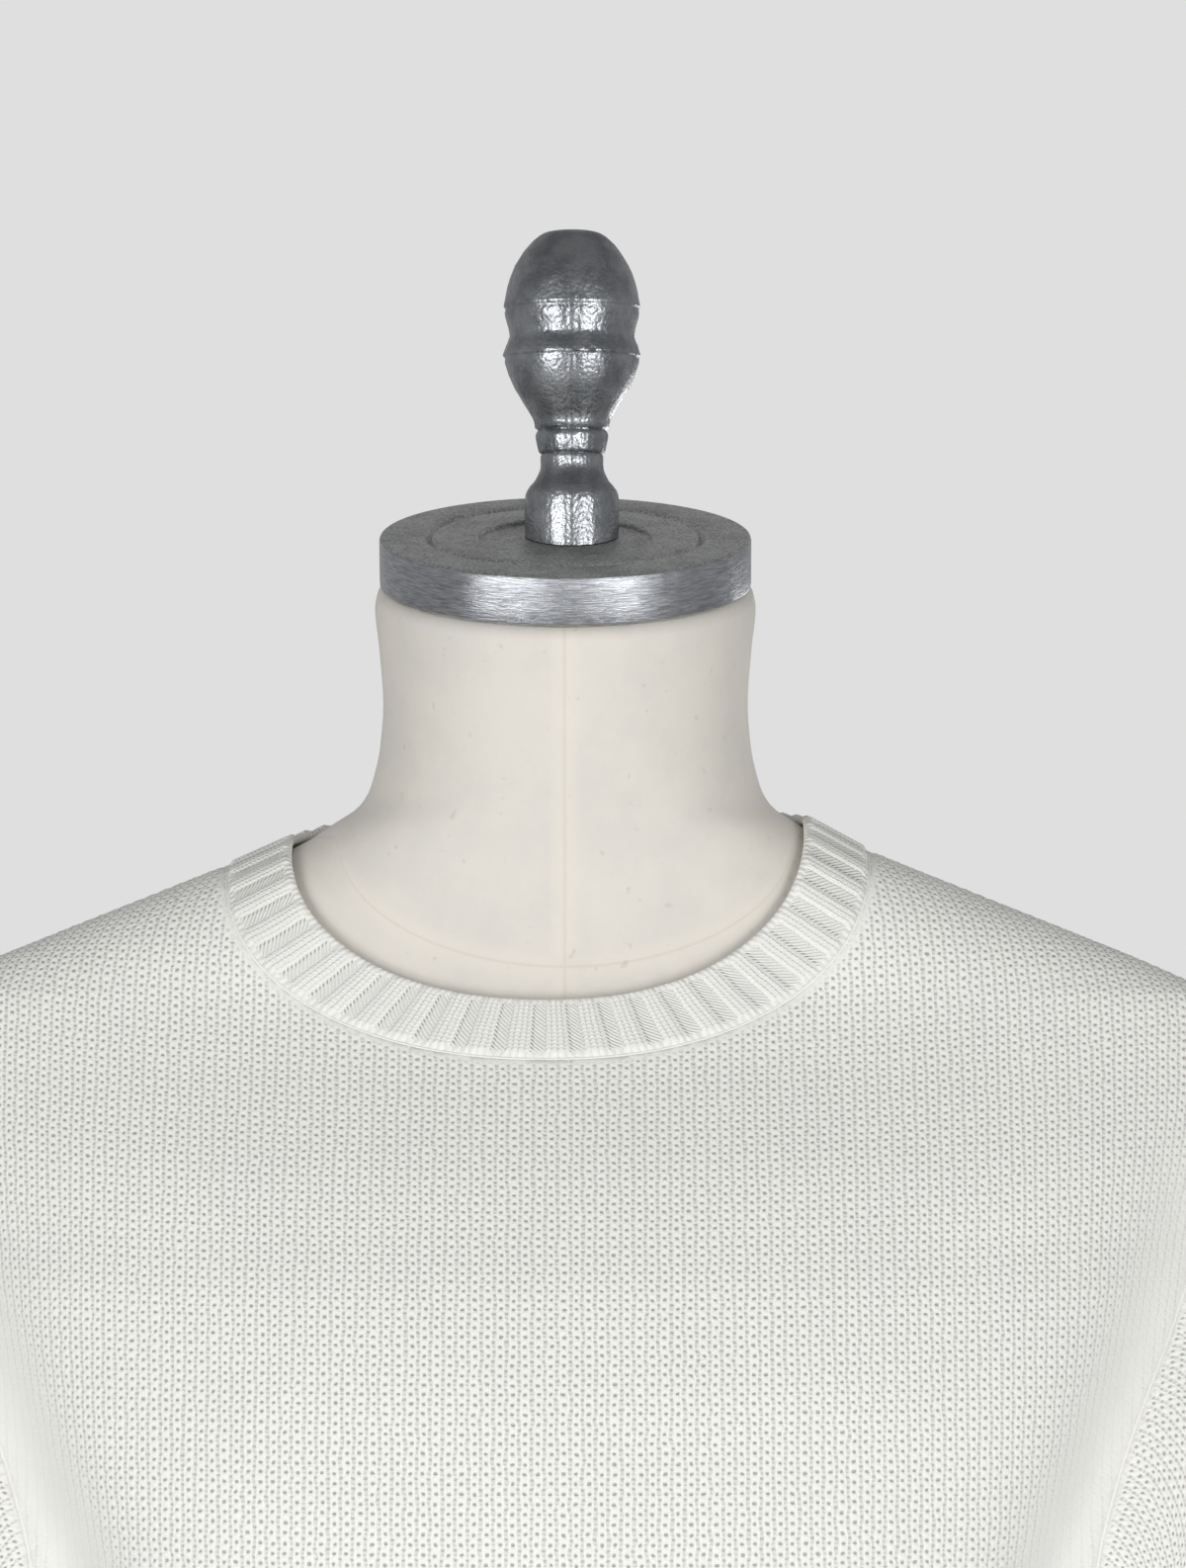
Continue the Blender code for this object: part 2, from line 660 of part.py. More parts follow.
def add_sleeve(name, side, panels, cloth):
    """One sleeve: from the armhole's ring over the sleeve head and down to the cuff."""
    front, back = panels["front"], panels["back"]
    start, thickness, headings, turns = [], [], [], []
    ring_front = front["arms"][side]
    ring_back = back["arms"][side]
    joined = [(front, here, across, False) for here, across in ring_front]
    joined += [(back, here, across, True) for here, across in ring_back[-2:0:-1]]
    lengths = [0.0]
    for one, two in zip(joined, joined[1:] + joined[:1]):
        step = np.linalg.norm(one[0]["outer"][one[1]] - two[0]["outer"][two[1]])
        lengths.append(lengths[-1] + step)
    bottom = lengths[len(ring_front) - 1]
    for place, (panel, here, across, backwards) in enumerate(joined):
        length = lengths[place]
        if length <= bottom:
            turn = 180.0 * length / bottom
        else:
            turn = 180.0 + 180.0 * (length - bottom) / (lengths[-1] - bottom)
        outer_point = panel["outer"][here].copy()
        inner_point = panel["inner"][here].copy()
        if place == 0:
            outer_point[1] += SEAM_GAP / 2.0
            inner_point[1] += SEAM_GAP / 2.0
        if place == len(ring_front) - 1:
            outer_point[1] += SEAM_GAP / 2.0
            inner_point[1] += SEAM_GAP / 2.0
        start.append(outer_point + across * SEAM_GAP)
        thickness.append(inner_point + across * SEAM_GAP)
        headings.append(sleeve_start(turn if turn <= 180.0 else 360.0 - turn, side, backwards))
        turns.append(math.radians(turn))

    def oval(row):
        rise, middle_x, middle_y, half_across, half_deep = row
        ring = []
        for turn in turns:
            x = side * (middle_x + half_across * math.cos(turn))
            y = middle_y - half_deep * math.sin(turn)
            ring.append(np.array((x * MM, y * MM, rise * MM + NECK_LEVEL)))
        return ring

    first = oval(SLEEVE_RINGS[0])
    rings = [start]
    for step in range(1, HEAD_RINGS):
        part = step / HEAD_RINGS
        ring = []
        for begin, end, heading in zip(start, first, headings):
            reach = np.linalg.norm(end - begin)
            leave = heading * reach
            arrive = np.array((0.0, 0.0, -1.0)) * reach
            ring.append(
                begin * (2 * part**3 - 3 * part**2 + 1)
                + leave * (part**3 - 2 * part**2 + part)
                + end * (3 * part**2 - 2 * part**3)
                + arrive * (part**3 - part**2)
            )
        rings.append(ring)
    rings += [oval(row) for row in SLEEVE_RINGS]
    return add_tube(name, rings, thickness, side, cloth)


def add_tube(name, rings, first_inner, side, cloth):
    """A wall from rings of points, its first edge given by the pieces that it is sewn to."""
    grid = np.array(rings)
    count = grid.shape[1]
    normals = np.zeros_like(grid)
    for row in range(len(grid)):
        above = grid[max(row - 1, 0)]
        below = grid[min(row + 1, len(grid) - 1)]
        for column in range(count):
            round_it = grid[row, (column + 1) % count] - grid[row, column - 1]
            down_it = below[column] - above[column]
            normals[row, column] = unit(np.cross(round_it, down_it)) * side
    inner = grid - normals * CLOTH
    inner[0] = np.array(first_inner)
    outer_points = grid.reshape(-1, 3)
    inner_points = inner.reshape(-1, 3)
    faces = []
    for row in range(len(grid) - 1):
        for column in range(count):
            right = (column + 1) % count
            faces.append((
                row * count + column,
                row * count + right,
                (row + 1) * count + right,
                (row + 1) * count + column,
            ))
    points, closed = wall_mesh(list(outer_points), list(inner_points), faces)
    add_object(name, points, closed, cloth)
    return grid, inner


def walk(polyline, shares, closed):
    """Points at shares of a polyline's length."""
    corners = np.array(polyline)
    if closed:
        corners = np.vstack((corners, corners[:1]))
    steps = np.linalg.norm(np.diff(corners, axis=0), axis=1)
    lengths = np.concatenate(([0.0], np.cumsum(steps)))
    wanted = np.array(shares) * lengths[-1]
    return np.column_stack([np.interp(wanted, lengths, corners[:, axis]) for axis in range(3)])


def rib_profile(ribs, corners):
    """Shares along an edge and rise, 0 or 1, of every corner of a row of flat-topped ribs."""
    shares, rises = [], []
    for rib in range(ribs):
        for offset, rise in corners:
            shares.append((rib + offset) / ribs)
            rises.append(rise)
    return shares, rises


FINE_RIB = ((0.0, 0.0), (0.22, 1.0), (0.70, 1.0), (0.92, 0.0))
PLAIN_RIB = ((0.0, 0.0), (0.3, 1.0), (0.7, 1.0))


def fan(fine, coarse, closed):
    """Faces between a finely and a coarsely divided edge: lists of (index, share)."""
    faces = []
    fine_pairs = list(zip(fine, fine[1:]))
    if closed:
        fine_pairs.append((fine[-1], (fine[0][0], 1.0)))
    coarse_run = list(coarse)
    if closed:
        coarse_run.append((coarse[0][0], 1.0))
    spot = 0
    for (start, share), (end, next_share) in fine_pairs:
        middle = (share + next_share) / 2.0
        while spot < len(coarse_run) - 1:
            switch = (coarse_run[spot][1] + coarse_run[spot + 1][1]) / 2.0
            if middle <= switch:
                break
            faces.append((start, coarse_run[spot + 1][0], coarse_run[spot][0]))
            spot += 1
        faces.append((start, end, coarse_run[spot][0]))
    last_fine = fine_pairs[-1][1][0]
    while spot < len(coarse_run) - 1:
        faces.append((last_fine, coarse_run[spot + 1][0], coarse_run[spot][0]))
        spot += 1
    return faces


def ribbed_strip(name, outer_rows, inner_rows, ribs, corners, rise, cloth, closed, row_rises):
    """A wall with ribs on its outside over a plain inside.

    outer_rows and inner_rows are edges, as functions of a list of shares that return
    points and outward directions; row_rises scales the ribs on each outer row.
    """
    shares, rises = rib_profile(ribs, corners)
    plain = [step / ribs for step in range(ribs)]
    if not closed:
        shares.append(1.0)
        rises.append(0.0)
        plain.append(1.0)
    points, outer_index, inner_index, faces = [], [], [], []
    for edge, scale in zip(outer_rows, row_rises):
        places, outward = edge(shares)
        row = []
        for place, direction, height in zip(places, outward, rises):
            row.append(len(points))
            points.append(place + direction * rise * height * scale)
        outer_index.append(row)
    for edge in inner_rows:
        places, _ = edge(plain)
        row = []
        for place in places:
            row.append(len(points))
            points.append(place)
        inner_index.append(row)

    def join(first, second):
        count = len(first)
        last = count if closed else count - 1
        for column in range(last):
            right = (column + 1) % count
            faces.append((first[column], first[right], second[right], second[column]))

    for first, second in zip(outer_index, outer_index[1:]):
        join(first, second)
    for first, second in zip(inner_index, inner_index[1:]):
        join(second, first)
    for outer_row, inner_row in ((outer_index[0], inner_index[0]), (outer_index[-1], inner_index[-1])):
        faces.extend(fan(list(zip(outer_row, shares)), list(zip(inner_row, plain)), closed))
    if not closed:
        for end in (0, -1):
            loop = [row[end] for row in outer_index] + [row[end] for row in inner_index[::-1]]
            faces.append(tuple(loop))
    add_object(name, points, faces, cloth, sharp=60.0)


def neck_edge(panel, columns):
    """The numbers of the points along a panel's neckline, in the order of its columns."""
    return [panel["index"][LOWER_ROWS + UPPER_ROWS, column] for column in columns]


def add_neckband(panels, cloth):
    """The ribbed band, from the neck seam to its folded edge."""
    front, back = panels["front"], panels["back"]
    columns = list(range(-NECK_COLUMNS, NECK_COLUMNS + 1))
    front_run = neck_edge(front, columns)
    back_run = neck_edge(back, columns[::-1])
    seam_outer = [front["outer"][i] for i in front_run] + [back["outer"][i] for i in back_run[1:-1]]
    seam_inner = [front["inner"][i] for i in front_run] + [back["inner"][i] for i in back_run[1:-1]]
    edge = []
    for column in columns:
        side = 1 if column >= 0 else -1
        turn = neck_turn(column)
        edge.append(neck_loop(turn, EDGE_HALF_WIDTH, EDGE_FRONT, EDGE_BACK, side))
    for column in columns[-2:0:-1]:
        side = 1 if column >= 0 else -1
        turn = 180.0 - neck_turn(column)
        edge.append(neck_loop(turn, EDGE_HALF_WIDTH, EDGE_FRONT, EDGE_BACK, side))
    edge_points = np.array([SWEATER.point(angle, level) for angle, level in edge])
    seam_points = np.array(seam_outer)
    seam_below = np.array(seam_inner)
    around = np.roll(seam_points, -1, axis=0) - np.roll(seam_points, 1, axis=0)
    across = edge_points - seam_points
    facing = np.cross(around, across)
    facing /= np.linalg.norm(facing, axis=1)[:, None]
    if facing[len(columns) // 2][1] > 0.0:
        facing = -facing
    unit_across = across / np.linalg.norm(across, axis=1)[:, None]
    start = seam_points + unit_across * SEAM_GAP
    below = seam_below + unit_across * SEAM_GAP

    def row_between(share, lift, low):
        """An edge of the band: share 0 is the seam, 1 the folded edge."""
        base = start + (edge_points - start) * share
        if low:
            target = edge_points - facing * BAND_WALL
            base = below + (target - below) * share

        def edge_row(shares):
            rows = walk(base, shares, True)
            steps = walk(base + facing, shares, True) - rows
            directions = steps / np.linalg.norm(steps, axis=1)[:, None]
            return rows + directions * lift, directions

        return edge_row

    outer_rows = [row_between(share, lift * MM, False) for share, lift, _ in BAND_ROWS]
    inner_rows = [row_between(0.0, 0.0, True), row_between(BAND_INNER_SHARE, 0.0, True)]
    row_rises = [rib for _, _, rib in BAND_ROWS]
    ribbed_strip(
        "neckband", outer_rows, inner_rows, NECK_RIBS, FINE_RIB, RIB_RISE, cloth, True, row_rises
    )


def add_hem_rib(name, backwards, panel, cloth):
    """The rib below a panel, from side seam to side seam."""
    index = panel["index"]
    order = range(-PANEL_COLUMNS, PANEL_COLUMNS + 1)
    top_outer = np.array([panel["outer"][index[0, column]] for column in order])
    top_inner = np.array([panel["inner"][index[0, column]] for column in order])
    shift = np.array((0.0, SEAM_GAP / 2.0 * (1.0 if backwards else -1.0), 0.0))
    low_outer, low_inner = [], []
    for column in order:
        share = abs(column) / PANEL_COLUMNS
        length = share * SWEATER.along(90.0, HEM_BOTTOM, backwards)
        angle = SWEATER.angle_along(length, HEM_BOTTOM, backwards)
        full = math.copysign((180.0 - angle) if backwards else angle, column)
        place = SWEATER.point(full, HEM_BOTTOM) + shift
        normal = SWEATER.normal(full, HEM_BOTTOM)
        if abs(column) == PANEL_COLUMNS:
            normal = np.array((math.copysign(1.0, column), 0.0, 0.0))
        low_outer.append(place)
        low_inner.append(place - normal * CLOTH)
    low_outer, low_inner = np.array(low_outer), np.array(low_inner)
    down = np.array((0.0, 0.0, -SEAM_GAP))

    def edge_of(outer_line, inner_line, take_inner, drop):
        def edge_row(shares):
            outside = walk(outer_line, shares, False)
            inside = walk(inner_line, shares, False)
            outward = outside - inside
            outward /= np.linalg.norm(outward, axis=1)[:, None]
            outward[:, 2] = 0.0
            return (inside if take_inner else outside) + drop, outward

        return edge_row

    none = np.zeros(3)
    outer_rows = [edge_of(top_outer, top_inner, False, down), edge_of(low_outer, low_inner, False, none)]
    inner_rows = [edge_of(top_outer, top_inner, True, down), edge_of(low_outer, low_inner, True, none)]
    ribbed_strip(
        name, outer_rows, inner_rows, HEM_RIBS, PLAIN_RIB, CUFF_RIB_RISE, cloth, False, (1.0, 1.0)
    )


def add_cuff(name, side, sleeve_outer, sleeve_inner, cloth):
    """A ribbed tube below the sleeve's last ring."""
    top_outer, top_inner = sleeve_outer[-1], sleeve_inner[-1]
    first = CUFF_RINGS[0]
    middle = np.array((side * first[1] * MM, first[2] * MM, 0.0))
    turns = []
    for place in top_outer:
        offset = place - middle
        turns.append(math.atan2(-offset[1] / first[4], side * offset[0] / first[3]))
    down = np.array((0.0, 0.0, -SEAM_GAP))
    lines = [(top_outer + down, top_inner + down)]
    for rise, middle_x, middle_y, half_across, half_deep in CUFF_RINGS[1:]:
        outside, inside = [], []
        for turn in turns:
            for ring, shrink in ((outside, 0.0), (inside, CLOTH / MM)):
                x = side * (middle_x + (half_across - shrink) * math.cos(turn))
                y = middle_y - (half_deep - shrink) * math.sin(turn)
                ring.append((x * MM, y * MM, rise * MM + NECK_LEVEL))
        lines.append((np.array(outside), np.array(inside)))

    def edge_of(line, take_inner):
        def edge_row(shares):
            outside = walk(line[0], shares, True)
            inside = walk(line[1], shares, True)
            outward = outside - inside
            outward[:, 2] = 0.0
            outward /= np.linalg.norm(outward, axis=1)[:, None]
            return (inside if take_inner else outside), outward

        return edge_row

    outer_rows = [edge_of(line, False) for line in lines]
    inner_rows = [edge_of(line, True) for line in lines]
    ribbed_strip(
        name, outer_rows, inner_rows, CUFF_RIBS, PLAIN_RIB, CUFF_RIB_RISE, cloth, True, (1.0,) * 3
    )


def add_dress_form(cover):
    """The padded torso and neck: one closed body of rings."""
    points, faces = [], []
    for row in FORM_SECTIONS:
        level = row[0]
        front_lengths = FORM.arc(level, False)[1][-1]
        back_lengths = FORM.arc(level, True)[1][-1]
        for spot in range(FORM_SIDES):
            walked = 4.0 * spot / FORM_SIDES
            quarter, part = int(walked), walked - int(walked)
            if quarter == 0:
                angle = FORM.angle_along(part * front_lengths, level, False)
            elif quarter == 1:
                angle = 180.0 - FORM.angle_along((1.0 - part) * back_lengths, level, True)
            elif quarter == 2:
                angle = -180.0 + FORM.angle_along(part * back_lengths, level, True)
            else:
                angle = -FORM.angle_along((1.0 - part) * front_lengths, level, False)
            points.append(FORM.point(angle, level))
    rings = len(FORM_SECTIONS)
    for ring in range(rings - 1):
        for spot in range(FORM_SIDES):
            right = (spot + 1) % FORM_SIDES
            faces.append((
                ring * FORM_SIDES + spot,
                (ring + 1) * FORM_SIDES + spot,
                (ring + 1) * FORM_SIDES + right,
                ring * FORM_SIDES + right,
            ))
    faces.append(tuple(range(FORM_SIDES)))
    faces.append(tuple((rings - 1) * FORM_SIDES + spot for spot in range(FORM_SIDES)))
    add_object("dress_form", points, faces, cover, sharp=50.0)


def turned(name, profile, sides, metal):
    """A turned solid: profile rows are (radius, height) in metres, first and last are closed."""
    points, faces = [], []
    for radius, height in profile:
        for spot in range(sides):
            turn = 2.0 * math.pi * spot / sides
            points.append((radius * math.cos(turn), radius * math.sin(turn), height))
    for ring in range(len(profile) - 1):
        for spot in range(sides):
            right = (spot + 1) % sides
            faces.append((
                ring * sides + spot,
                ring * sides + right,
                (ring + 1) * sides + right,
                (ring + 1) * sides + spot,
            ))
    faces.append(tuple(range(sides)))
    faces.append(tuple((len(profile) - 1) * sides + spot for spot in range(sides)))
    return add_object(name, points, faces, metal, sharp=35.0)


def add_neck_cap(metal):
    profile = [(radius * MM, height * MM) for radius, height in CAP_PROFILE]
    cap = turned("neck_cap", profile, CAP_SIDES, metal)
    cap.rotation_euler = (CAP_LEAN, 0.0, 0.0)
    cap.location = CAP_MIDDLE


def add_knob(metal):
    """The knob stands upright; its foot is cut to the slant of the recess that it stands in."""
    x, y = KNOB_MIDDLE
    profile = [(radius * MM, height * MM + NECK_LEVEL) for radius, height in KNOB_PROFILE]
    recess = CAP_PROFILE[-1][1] * MM
    slant = math.tan(CAP_LEAN)
    floor_level = CAP_MIDDLE[2] + (recess + SEAM_GAP) / math.cos(CAP_LEAN)
    profile.append((KNOB_FOOT_RADIUS, floor_level))
    knob = turned("knob", profile, KNOB_SIDES, metal)
    foot = knob.data.vertices[-KNOB_SIDES:]
    for corner in foot:
        corner.co.z = floor_level + (corner.co.y + y - CAP_MIDDLE[1]) * slant
    knob.location = (x, y, 0.0)


def add_stand(metal, paint):
    """The pole from under the form to the foot plate, and the plate."""
    form_bottom = NECK_LEVEL + FORM_SECTIONS[-1][0] * MM
    pole_profile = (
        (POLE_RADIUS, FOOT_THICKNESS + SEAM_GAP),
        (POLE_RADIUS, form_bottom - SEAM_GAP),
    )
    turned("pole", pole_profile, POLE_SIDES, metal)
    plate_profile = (
        (FOOT_RADIUS - FOOT_EDGE / 3.0, 0.0),
        (FOOT_RADIUS, FOOT_EDGE / 3.0),
        (FOOT_RADIUS, FOOT_THICKNESS - FOOT_EDGE),
        (FOOT_RADIUS - FOOT_EDGE, FOOT_THICKNESS),
    )
    turned("base_plate", plate_profile, FOOT_SIDES, paint)


def build():
    for old in list(bpy.data.objects):
        bpy.data.objects.remove(old, do_unlink=True)
    cloth = material("off_white_knit", (0.82, 0.82, 0.78), 0.95)
    rib = material("off_white_rib", (0.80, 0.80, 0.76), 0.95)
    cover = material("cream_cover", (0.72, 0.68, 0.60), 0.9)
    cast = material("cast_metal", (0.35, 0.35, 0.36), 0.45, 1.0)
    brushed = material("brushed_metal", (0.50, 0.50, 0.50), 0.35, 1.0)
    paint = material("foot_paint", (0.60, 0.60, 0.58), 0.5)

    panels = {"front": build_panel(False), "back": build_panel(True)}
    for key, panel in panels.items():
        points, faces = wall_mesh(panel["outer"], panel["inner"], panel["faces"])
        add_object("body_" + key, points, faces, cloth)
    for name, side in (("right", -1), ("left", 1)):
        outer_rings, inner_rings = add_sleeve("sleeve_" + name, side, panels, cloth)
        add_cuff("cuff_" + name, side, outer_rings, inner_rings, rib)
    add_neckband(panels, rib)
    add_hem_rib("hem_rib_front", False, panels["front"], rib)
    add_hem_rib("hem_rib_back", True, panels["back"], rib)
    add_dress_form(cover)
    add_neck_cap(brushed)
    add_knob(cast)
    add_stand(brushed, paint)


build()
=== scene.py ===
"""The looks of an off-white crew neck sweater on a limbless dress form with a metal neck cap."""

import math

import bpy
import numpy as np
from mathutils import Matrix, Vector
from mathutils.geometry import delaunay_2d_cdt
from mathutils.kdtree import KDTree


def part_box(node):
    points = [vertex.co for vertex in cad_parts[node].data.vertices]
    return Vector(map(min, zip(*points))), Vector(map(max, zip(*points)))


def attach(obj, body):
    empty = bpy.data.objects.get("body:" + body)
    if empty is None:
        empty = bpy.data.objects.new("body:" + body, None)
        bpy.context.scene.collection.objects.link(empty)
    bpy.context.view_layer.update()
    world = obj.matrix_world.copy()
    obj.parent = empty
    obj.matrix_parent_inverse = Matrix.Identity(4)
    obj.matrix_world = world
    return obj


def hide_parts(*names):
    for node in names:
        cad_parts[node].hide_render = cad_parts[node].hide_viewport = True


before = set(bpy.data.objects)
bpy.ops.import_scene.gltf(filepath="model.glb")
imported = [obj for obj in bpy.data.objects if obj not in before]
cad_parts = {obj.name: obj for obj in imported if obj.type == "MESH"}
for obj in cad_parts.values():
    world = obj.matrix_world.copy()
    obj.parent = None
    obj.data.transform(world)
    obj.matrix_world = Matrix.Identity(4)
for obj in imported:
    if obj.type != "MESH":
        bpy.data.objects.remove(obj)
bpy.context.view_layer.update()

# The view: a long lens just below the neck's foot, 2.2 m in front of the form and tilted up a
# little, so that the frame cuts the sweater off below the chest.
MM = 0.001
NECK_LEVEL = 0.890
CAMERA_PLACE = (0.0094, -2.2, 0.8362)
CAMERA_PITCH = math.radians(1.4)
FOCAL_PIXELS = 6548.0
LONG_SIDE_PIXELS = 1586.0
SENSOR_MM = 36.0

camera_data = bpy.data.cameras.new("camera")
camera_data.sensor_width = SENSOR_MM
camera_data.lens = SENSOR_MM * FOCAL_PIXELS / LONG_SIDE_PIXELS
camera = bpy.data.objects.new("camera", camera_data)
camera.location = CAMERA_PLACE
camera.rotation_euler = (math.pi / 2.0 + CAMERA_PITCH, 0.0, 0.0)
bpy.context.scene.collection.objects.link(camera)
bpy.context.scene.camera = camera


# The stand: a round steel foot plate with a satin grey-white coat, and a steel pole that goes
# up into the form. Both are turned, so they are made as rings round an upright axis.
POLE_RADIUS = 14.0
FOOT_RADIUS = 170.0
FOOT_THICKNESS = 14.0
FOOT_ROUNDING = 3.0
FOOT_TOP_RING = 18.0
ROUNDING_STEPS = 5
TURNED_SIDES = 160


def make_piece(name, points, faces, material, corner_values=None, point_values=None):
    """A smooth mesh object from arrays; the values are named vectors on corners or points."""
    mesh = bpy.data.meshes.new(name)
    mesh.from_pydata(np.asarray(points, float).tolist(), [], [tuple(face) for face in faces])
    for label, values in (point_values or {}).items():
        layer = mesh.attributes.new(label, "FLOAT_VECTOR", "POINT")
        layer.data.foreach_set("vector", np.asarray(values, np.float32).ravel())
    for label, values in (corner_values or {}).items():
        layer = mesh.attributes.new(label, "FLOAT_VECTOR", "CORNER")
        layer.data.foreach_set("vector", np.asarray(values, np.float32).ravel())
    mesh.materials.append(material)
    mesh.shade_smooth()
    made = bpy.data.objects.new(name, mesh)
    bpy.context.scene.collection.objects.link(made)
    return made


def add_node(tree, kind, inputs=None, **settings):
    """A shader or geometry node with its settings, and its inputs as values or as links."""
    made = tree.nodes.new(kind)
    for label, value in settings.items():
        setattr(made, label, value)
    for key, value in (inputs or {}).items():
        socket = made.inputs[key]
        if isinstance(value, bpy.types.NodeSocket):
            tree.links.new(value, socket)
        else:
            socket.default_value = value
    return made


def maths(tree, operation, *values):
    """The result of one Math node."""
    return add_node(tree, "ShaderNodeMath", dict(enumerate(values)), operation=operation).outputs[0]


def between(tree, value, low, high):
    """A smooth mask: 0 below low, 1 above high."""
    ramp = add_node(
        tree, "ShaderNodeMapRange", {"Value": value, "From Min": low, "From Max": high},
        interpolation_type="SMOOTHSTEP",
    )
    return ramp.outputs[0]


def mix_colour(tree, share, first, second, blend="MIX"):
    """One colour over another by a share."""
    mixed = add_node(tree, "ShaderNodeMix", {"Factor": share}, data_type="RGBA", blend_type=blend)
    for key, colour in ((6, first), (7, second)):
        if isinstance(colour, bpy.types.NodeSocket):
            tree.links.new(colour, mixed.inputs[key])
        else:
            mixed.inputs[key].default_value = (*colour, 1.0)
    return mixed.outputs[2]


def new_material(name, **values):
    """A material with one Principled BSDF: its tree and that shader."""
    made = bpy.data.materials.new(name)
    made.use_nodes = True
    tree = made.node_tree
    shader = tree.nodes["Principled BSDF"]
    for label, value in values.items():
        shader.inputs[label.replace("_", " ")].default_value = value
    return made, tree, shader


def group_sockets(name, inputs, outputs):
    """An empty shader node group with its named sockets and its two ends."""
    group = bpy.data.node_groups.new(name, "ShaderNodeTree")
    for label, kind, value in inputs:
        socket = group.interface.new_socket(label, in_out="INPUT", socket_type=kind)
        if value is not None:
            socket.default_value = value
    for label, kind in outputs:
        group.interface.new_socket(label, in_out="OUTPUT", socket_type=kind)
    return group, group.nodes.new("NodeGroupInput"), group.nodes.new("NodeGroupOutput")


def use_group(tree, group, inputs=None):
    """A placed copy of a shader node group."""
    placed = tree.nodes.new("ShaderNodeGroup")
    placed.node_tree = group
    for key, value in (inputs or {}).items():
        if isinstance(value, bpy.types.NodeSocket):
            tree.links.new(value, placed.inputs[key])
        else:
            placed.inputs[key].default_value = value
    return placed


def metal_grain_group():
    """Grain of worked metal: fine pits and soft patches, stretched where it is brushed."""
    group, start, end = group_sockets(
        "metal_grain",
        [("Vector", "NodeSocketVector", None), ("Pit Scale", "NodeSocketFloat", 900.0),
         ("Patch Scale", "NodeSocketFloat", 60.0)],
        [("Pits", "NodeSocketFloat"), ("Patches", "NodeSocketFloat")],
    )
    pits = add_node(group, "ShaderNodeTexNoise", {
        "Vector": start.outputs["Vector"], "Scale": start.outputs["Pit Scale"],
        "Detail": 3.0, "Roughness": 0.6})
    patches = add_node(group, "ShaderNodeTexNoise", {
        "Vector": start.outputs["Vector"], "Scale": start.outputs["Patch Scale"],
        "Detail": 4.0, "Roughness": 0.55})
    group.links.new(pits.outputs[0], end.inputs["Pits"])
    group.links.new(patches.outputs[0], end.inputs["Patches"])
    return group


METAL_GRAIN = metal_grain_group()


def turned_rings(profile, sides):
    """Points and faces of a turned solid: profile is (radius, height) from the top down, in mm."""
    turns = np.arange(sides) * 2.0 * math.pi / sides - math.pi / 2.0
    rings = [
        np.column_stack((radius * np.cos(turns), radius * np.sin(turns), np.full(sides, height)))
        for radius, height in profile
    ]
    faces = []
    for ring in range(len(profile) - 1):
        for spot in range(sides):
            right = (spot + 1) % sides
            faces.append((
                ring * sides + spot, (ring + 1) * sides + spot,
                (ring + 1) * sides + right, ring * sides + right,
            ))
    faces.append(tuple(range(sides)))
    last = (len(profile) - 1) * sides
    faces.append(tuple(last + spot for spot in range(sides))[::-1])
    return np.vstack(rings), faces


def rounded_edge(radius, height, rounding, top):
    """Profile points round the upper or lower edge of a disc, walked from the top down."""
    turns = np.linspace(0.0, math.pi / 2.0, ROUNDING_STEPS)
    if top:
        insets = [(1 - math.sin(t), math.cos(t) - 1) for t in turns]
    else:
        insets = [(1 - math.cos(t), 1 - math.sin(t)) for t in turns]
    return [(radius - rounding * inwards, height + rounding * up) for inwards, up in insets]


coat, tree, shader = new_material("satin_coat", Roughness=0.42)
place = add_node(tree, "ShaderNodeTexCoord").outputs["Object"]
grain = use_group(tree, METAL_GRAIN, {"Vector": place, "Pit Scale": 420.0, "Patch Scale": 7.0})
tone = mix_colour(tree, grain.outputs["Patches"], (0.50, 0.49, 0.46), (0.62, 0.61, 0.58))
tree.links.new(tone, shader.inputs["Base Color"])
bump = add_node(tree, "ShaderNodeBump", {
    "Height": grain.outputs["Pits"], "Strength": 0.25, "Distance": 0.0002})
tree.links.new(bump.outputs[0], shader.inputs["Normal"])

foot_profile = [(FOOT_TOP_RING, FOOT_THICKNESS)]
foot_profile += rounded_edge(FOOT_RADIUS, FOOT_THICKNESS, FOOT_ROUNDING, True)
foot_profile += rounded_edge(FOOT_RADIUS, 0.0, FOOT_ROUNDING / 3.0, False)
foot_points, foot_faces = turned_rings(foot_profile, TURNED_SIDES)
foot = make_piece("foot_plate", foot_points * MM, foot_faces, coat)
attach(foot, "root")
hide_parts("base_plate")

steel, tree, shader = new_material("brushed_pole_steel", Metallic=1.0, Roughness=0.36)
place = add_node(tree, "ShaderNodeTexCoord").outputs["Object"]
along = add_node(tree, "ShaderNodeMapping", {"Vector": place, "Scale": (1.0, 1.0, 12.0)}).outputs[0]
grain = use_group(tree, METAL_GRAIN, {"Vector": along, "Pit Scale": 260.0, "Patch Scale": 9.0})
tone = mix_colour(tree, grain.outputs["Patches"], (0.36, 0.36, 0.36), (0.48, 0.48, 0.48))
tree.links.new(tone, shader.inputs["Base Color"])
tree.links.new(between(tree, grain.outputs["Pits"], -0.4, 1.6), shader.inputs["Roughness"])
bump = add_node(tree, "ShaderNodeBump", {
    "Height": grain.outputs["Pits"], "Strength": 0.3, "Distance": 0.0001})
tree.links.new(bump.outputs[0], shader.inputs["Normal"])

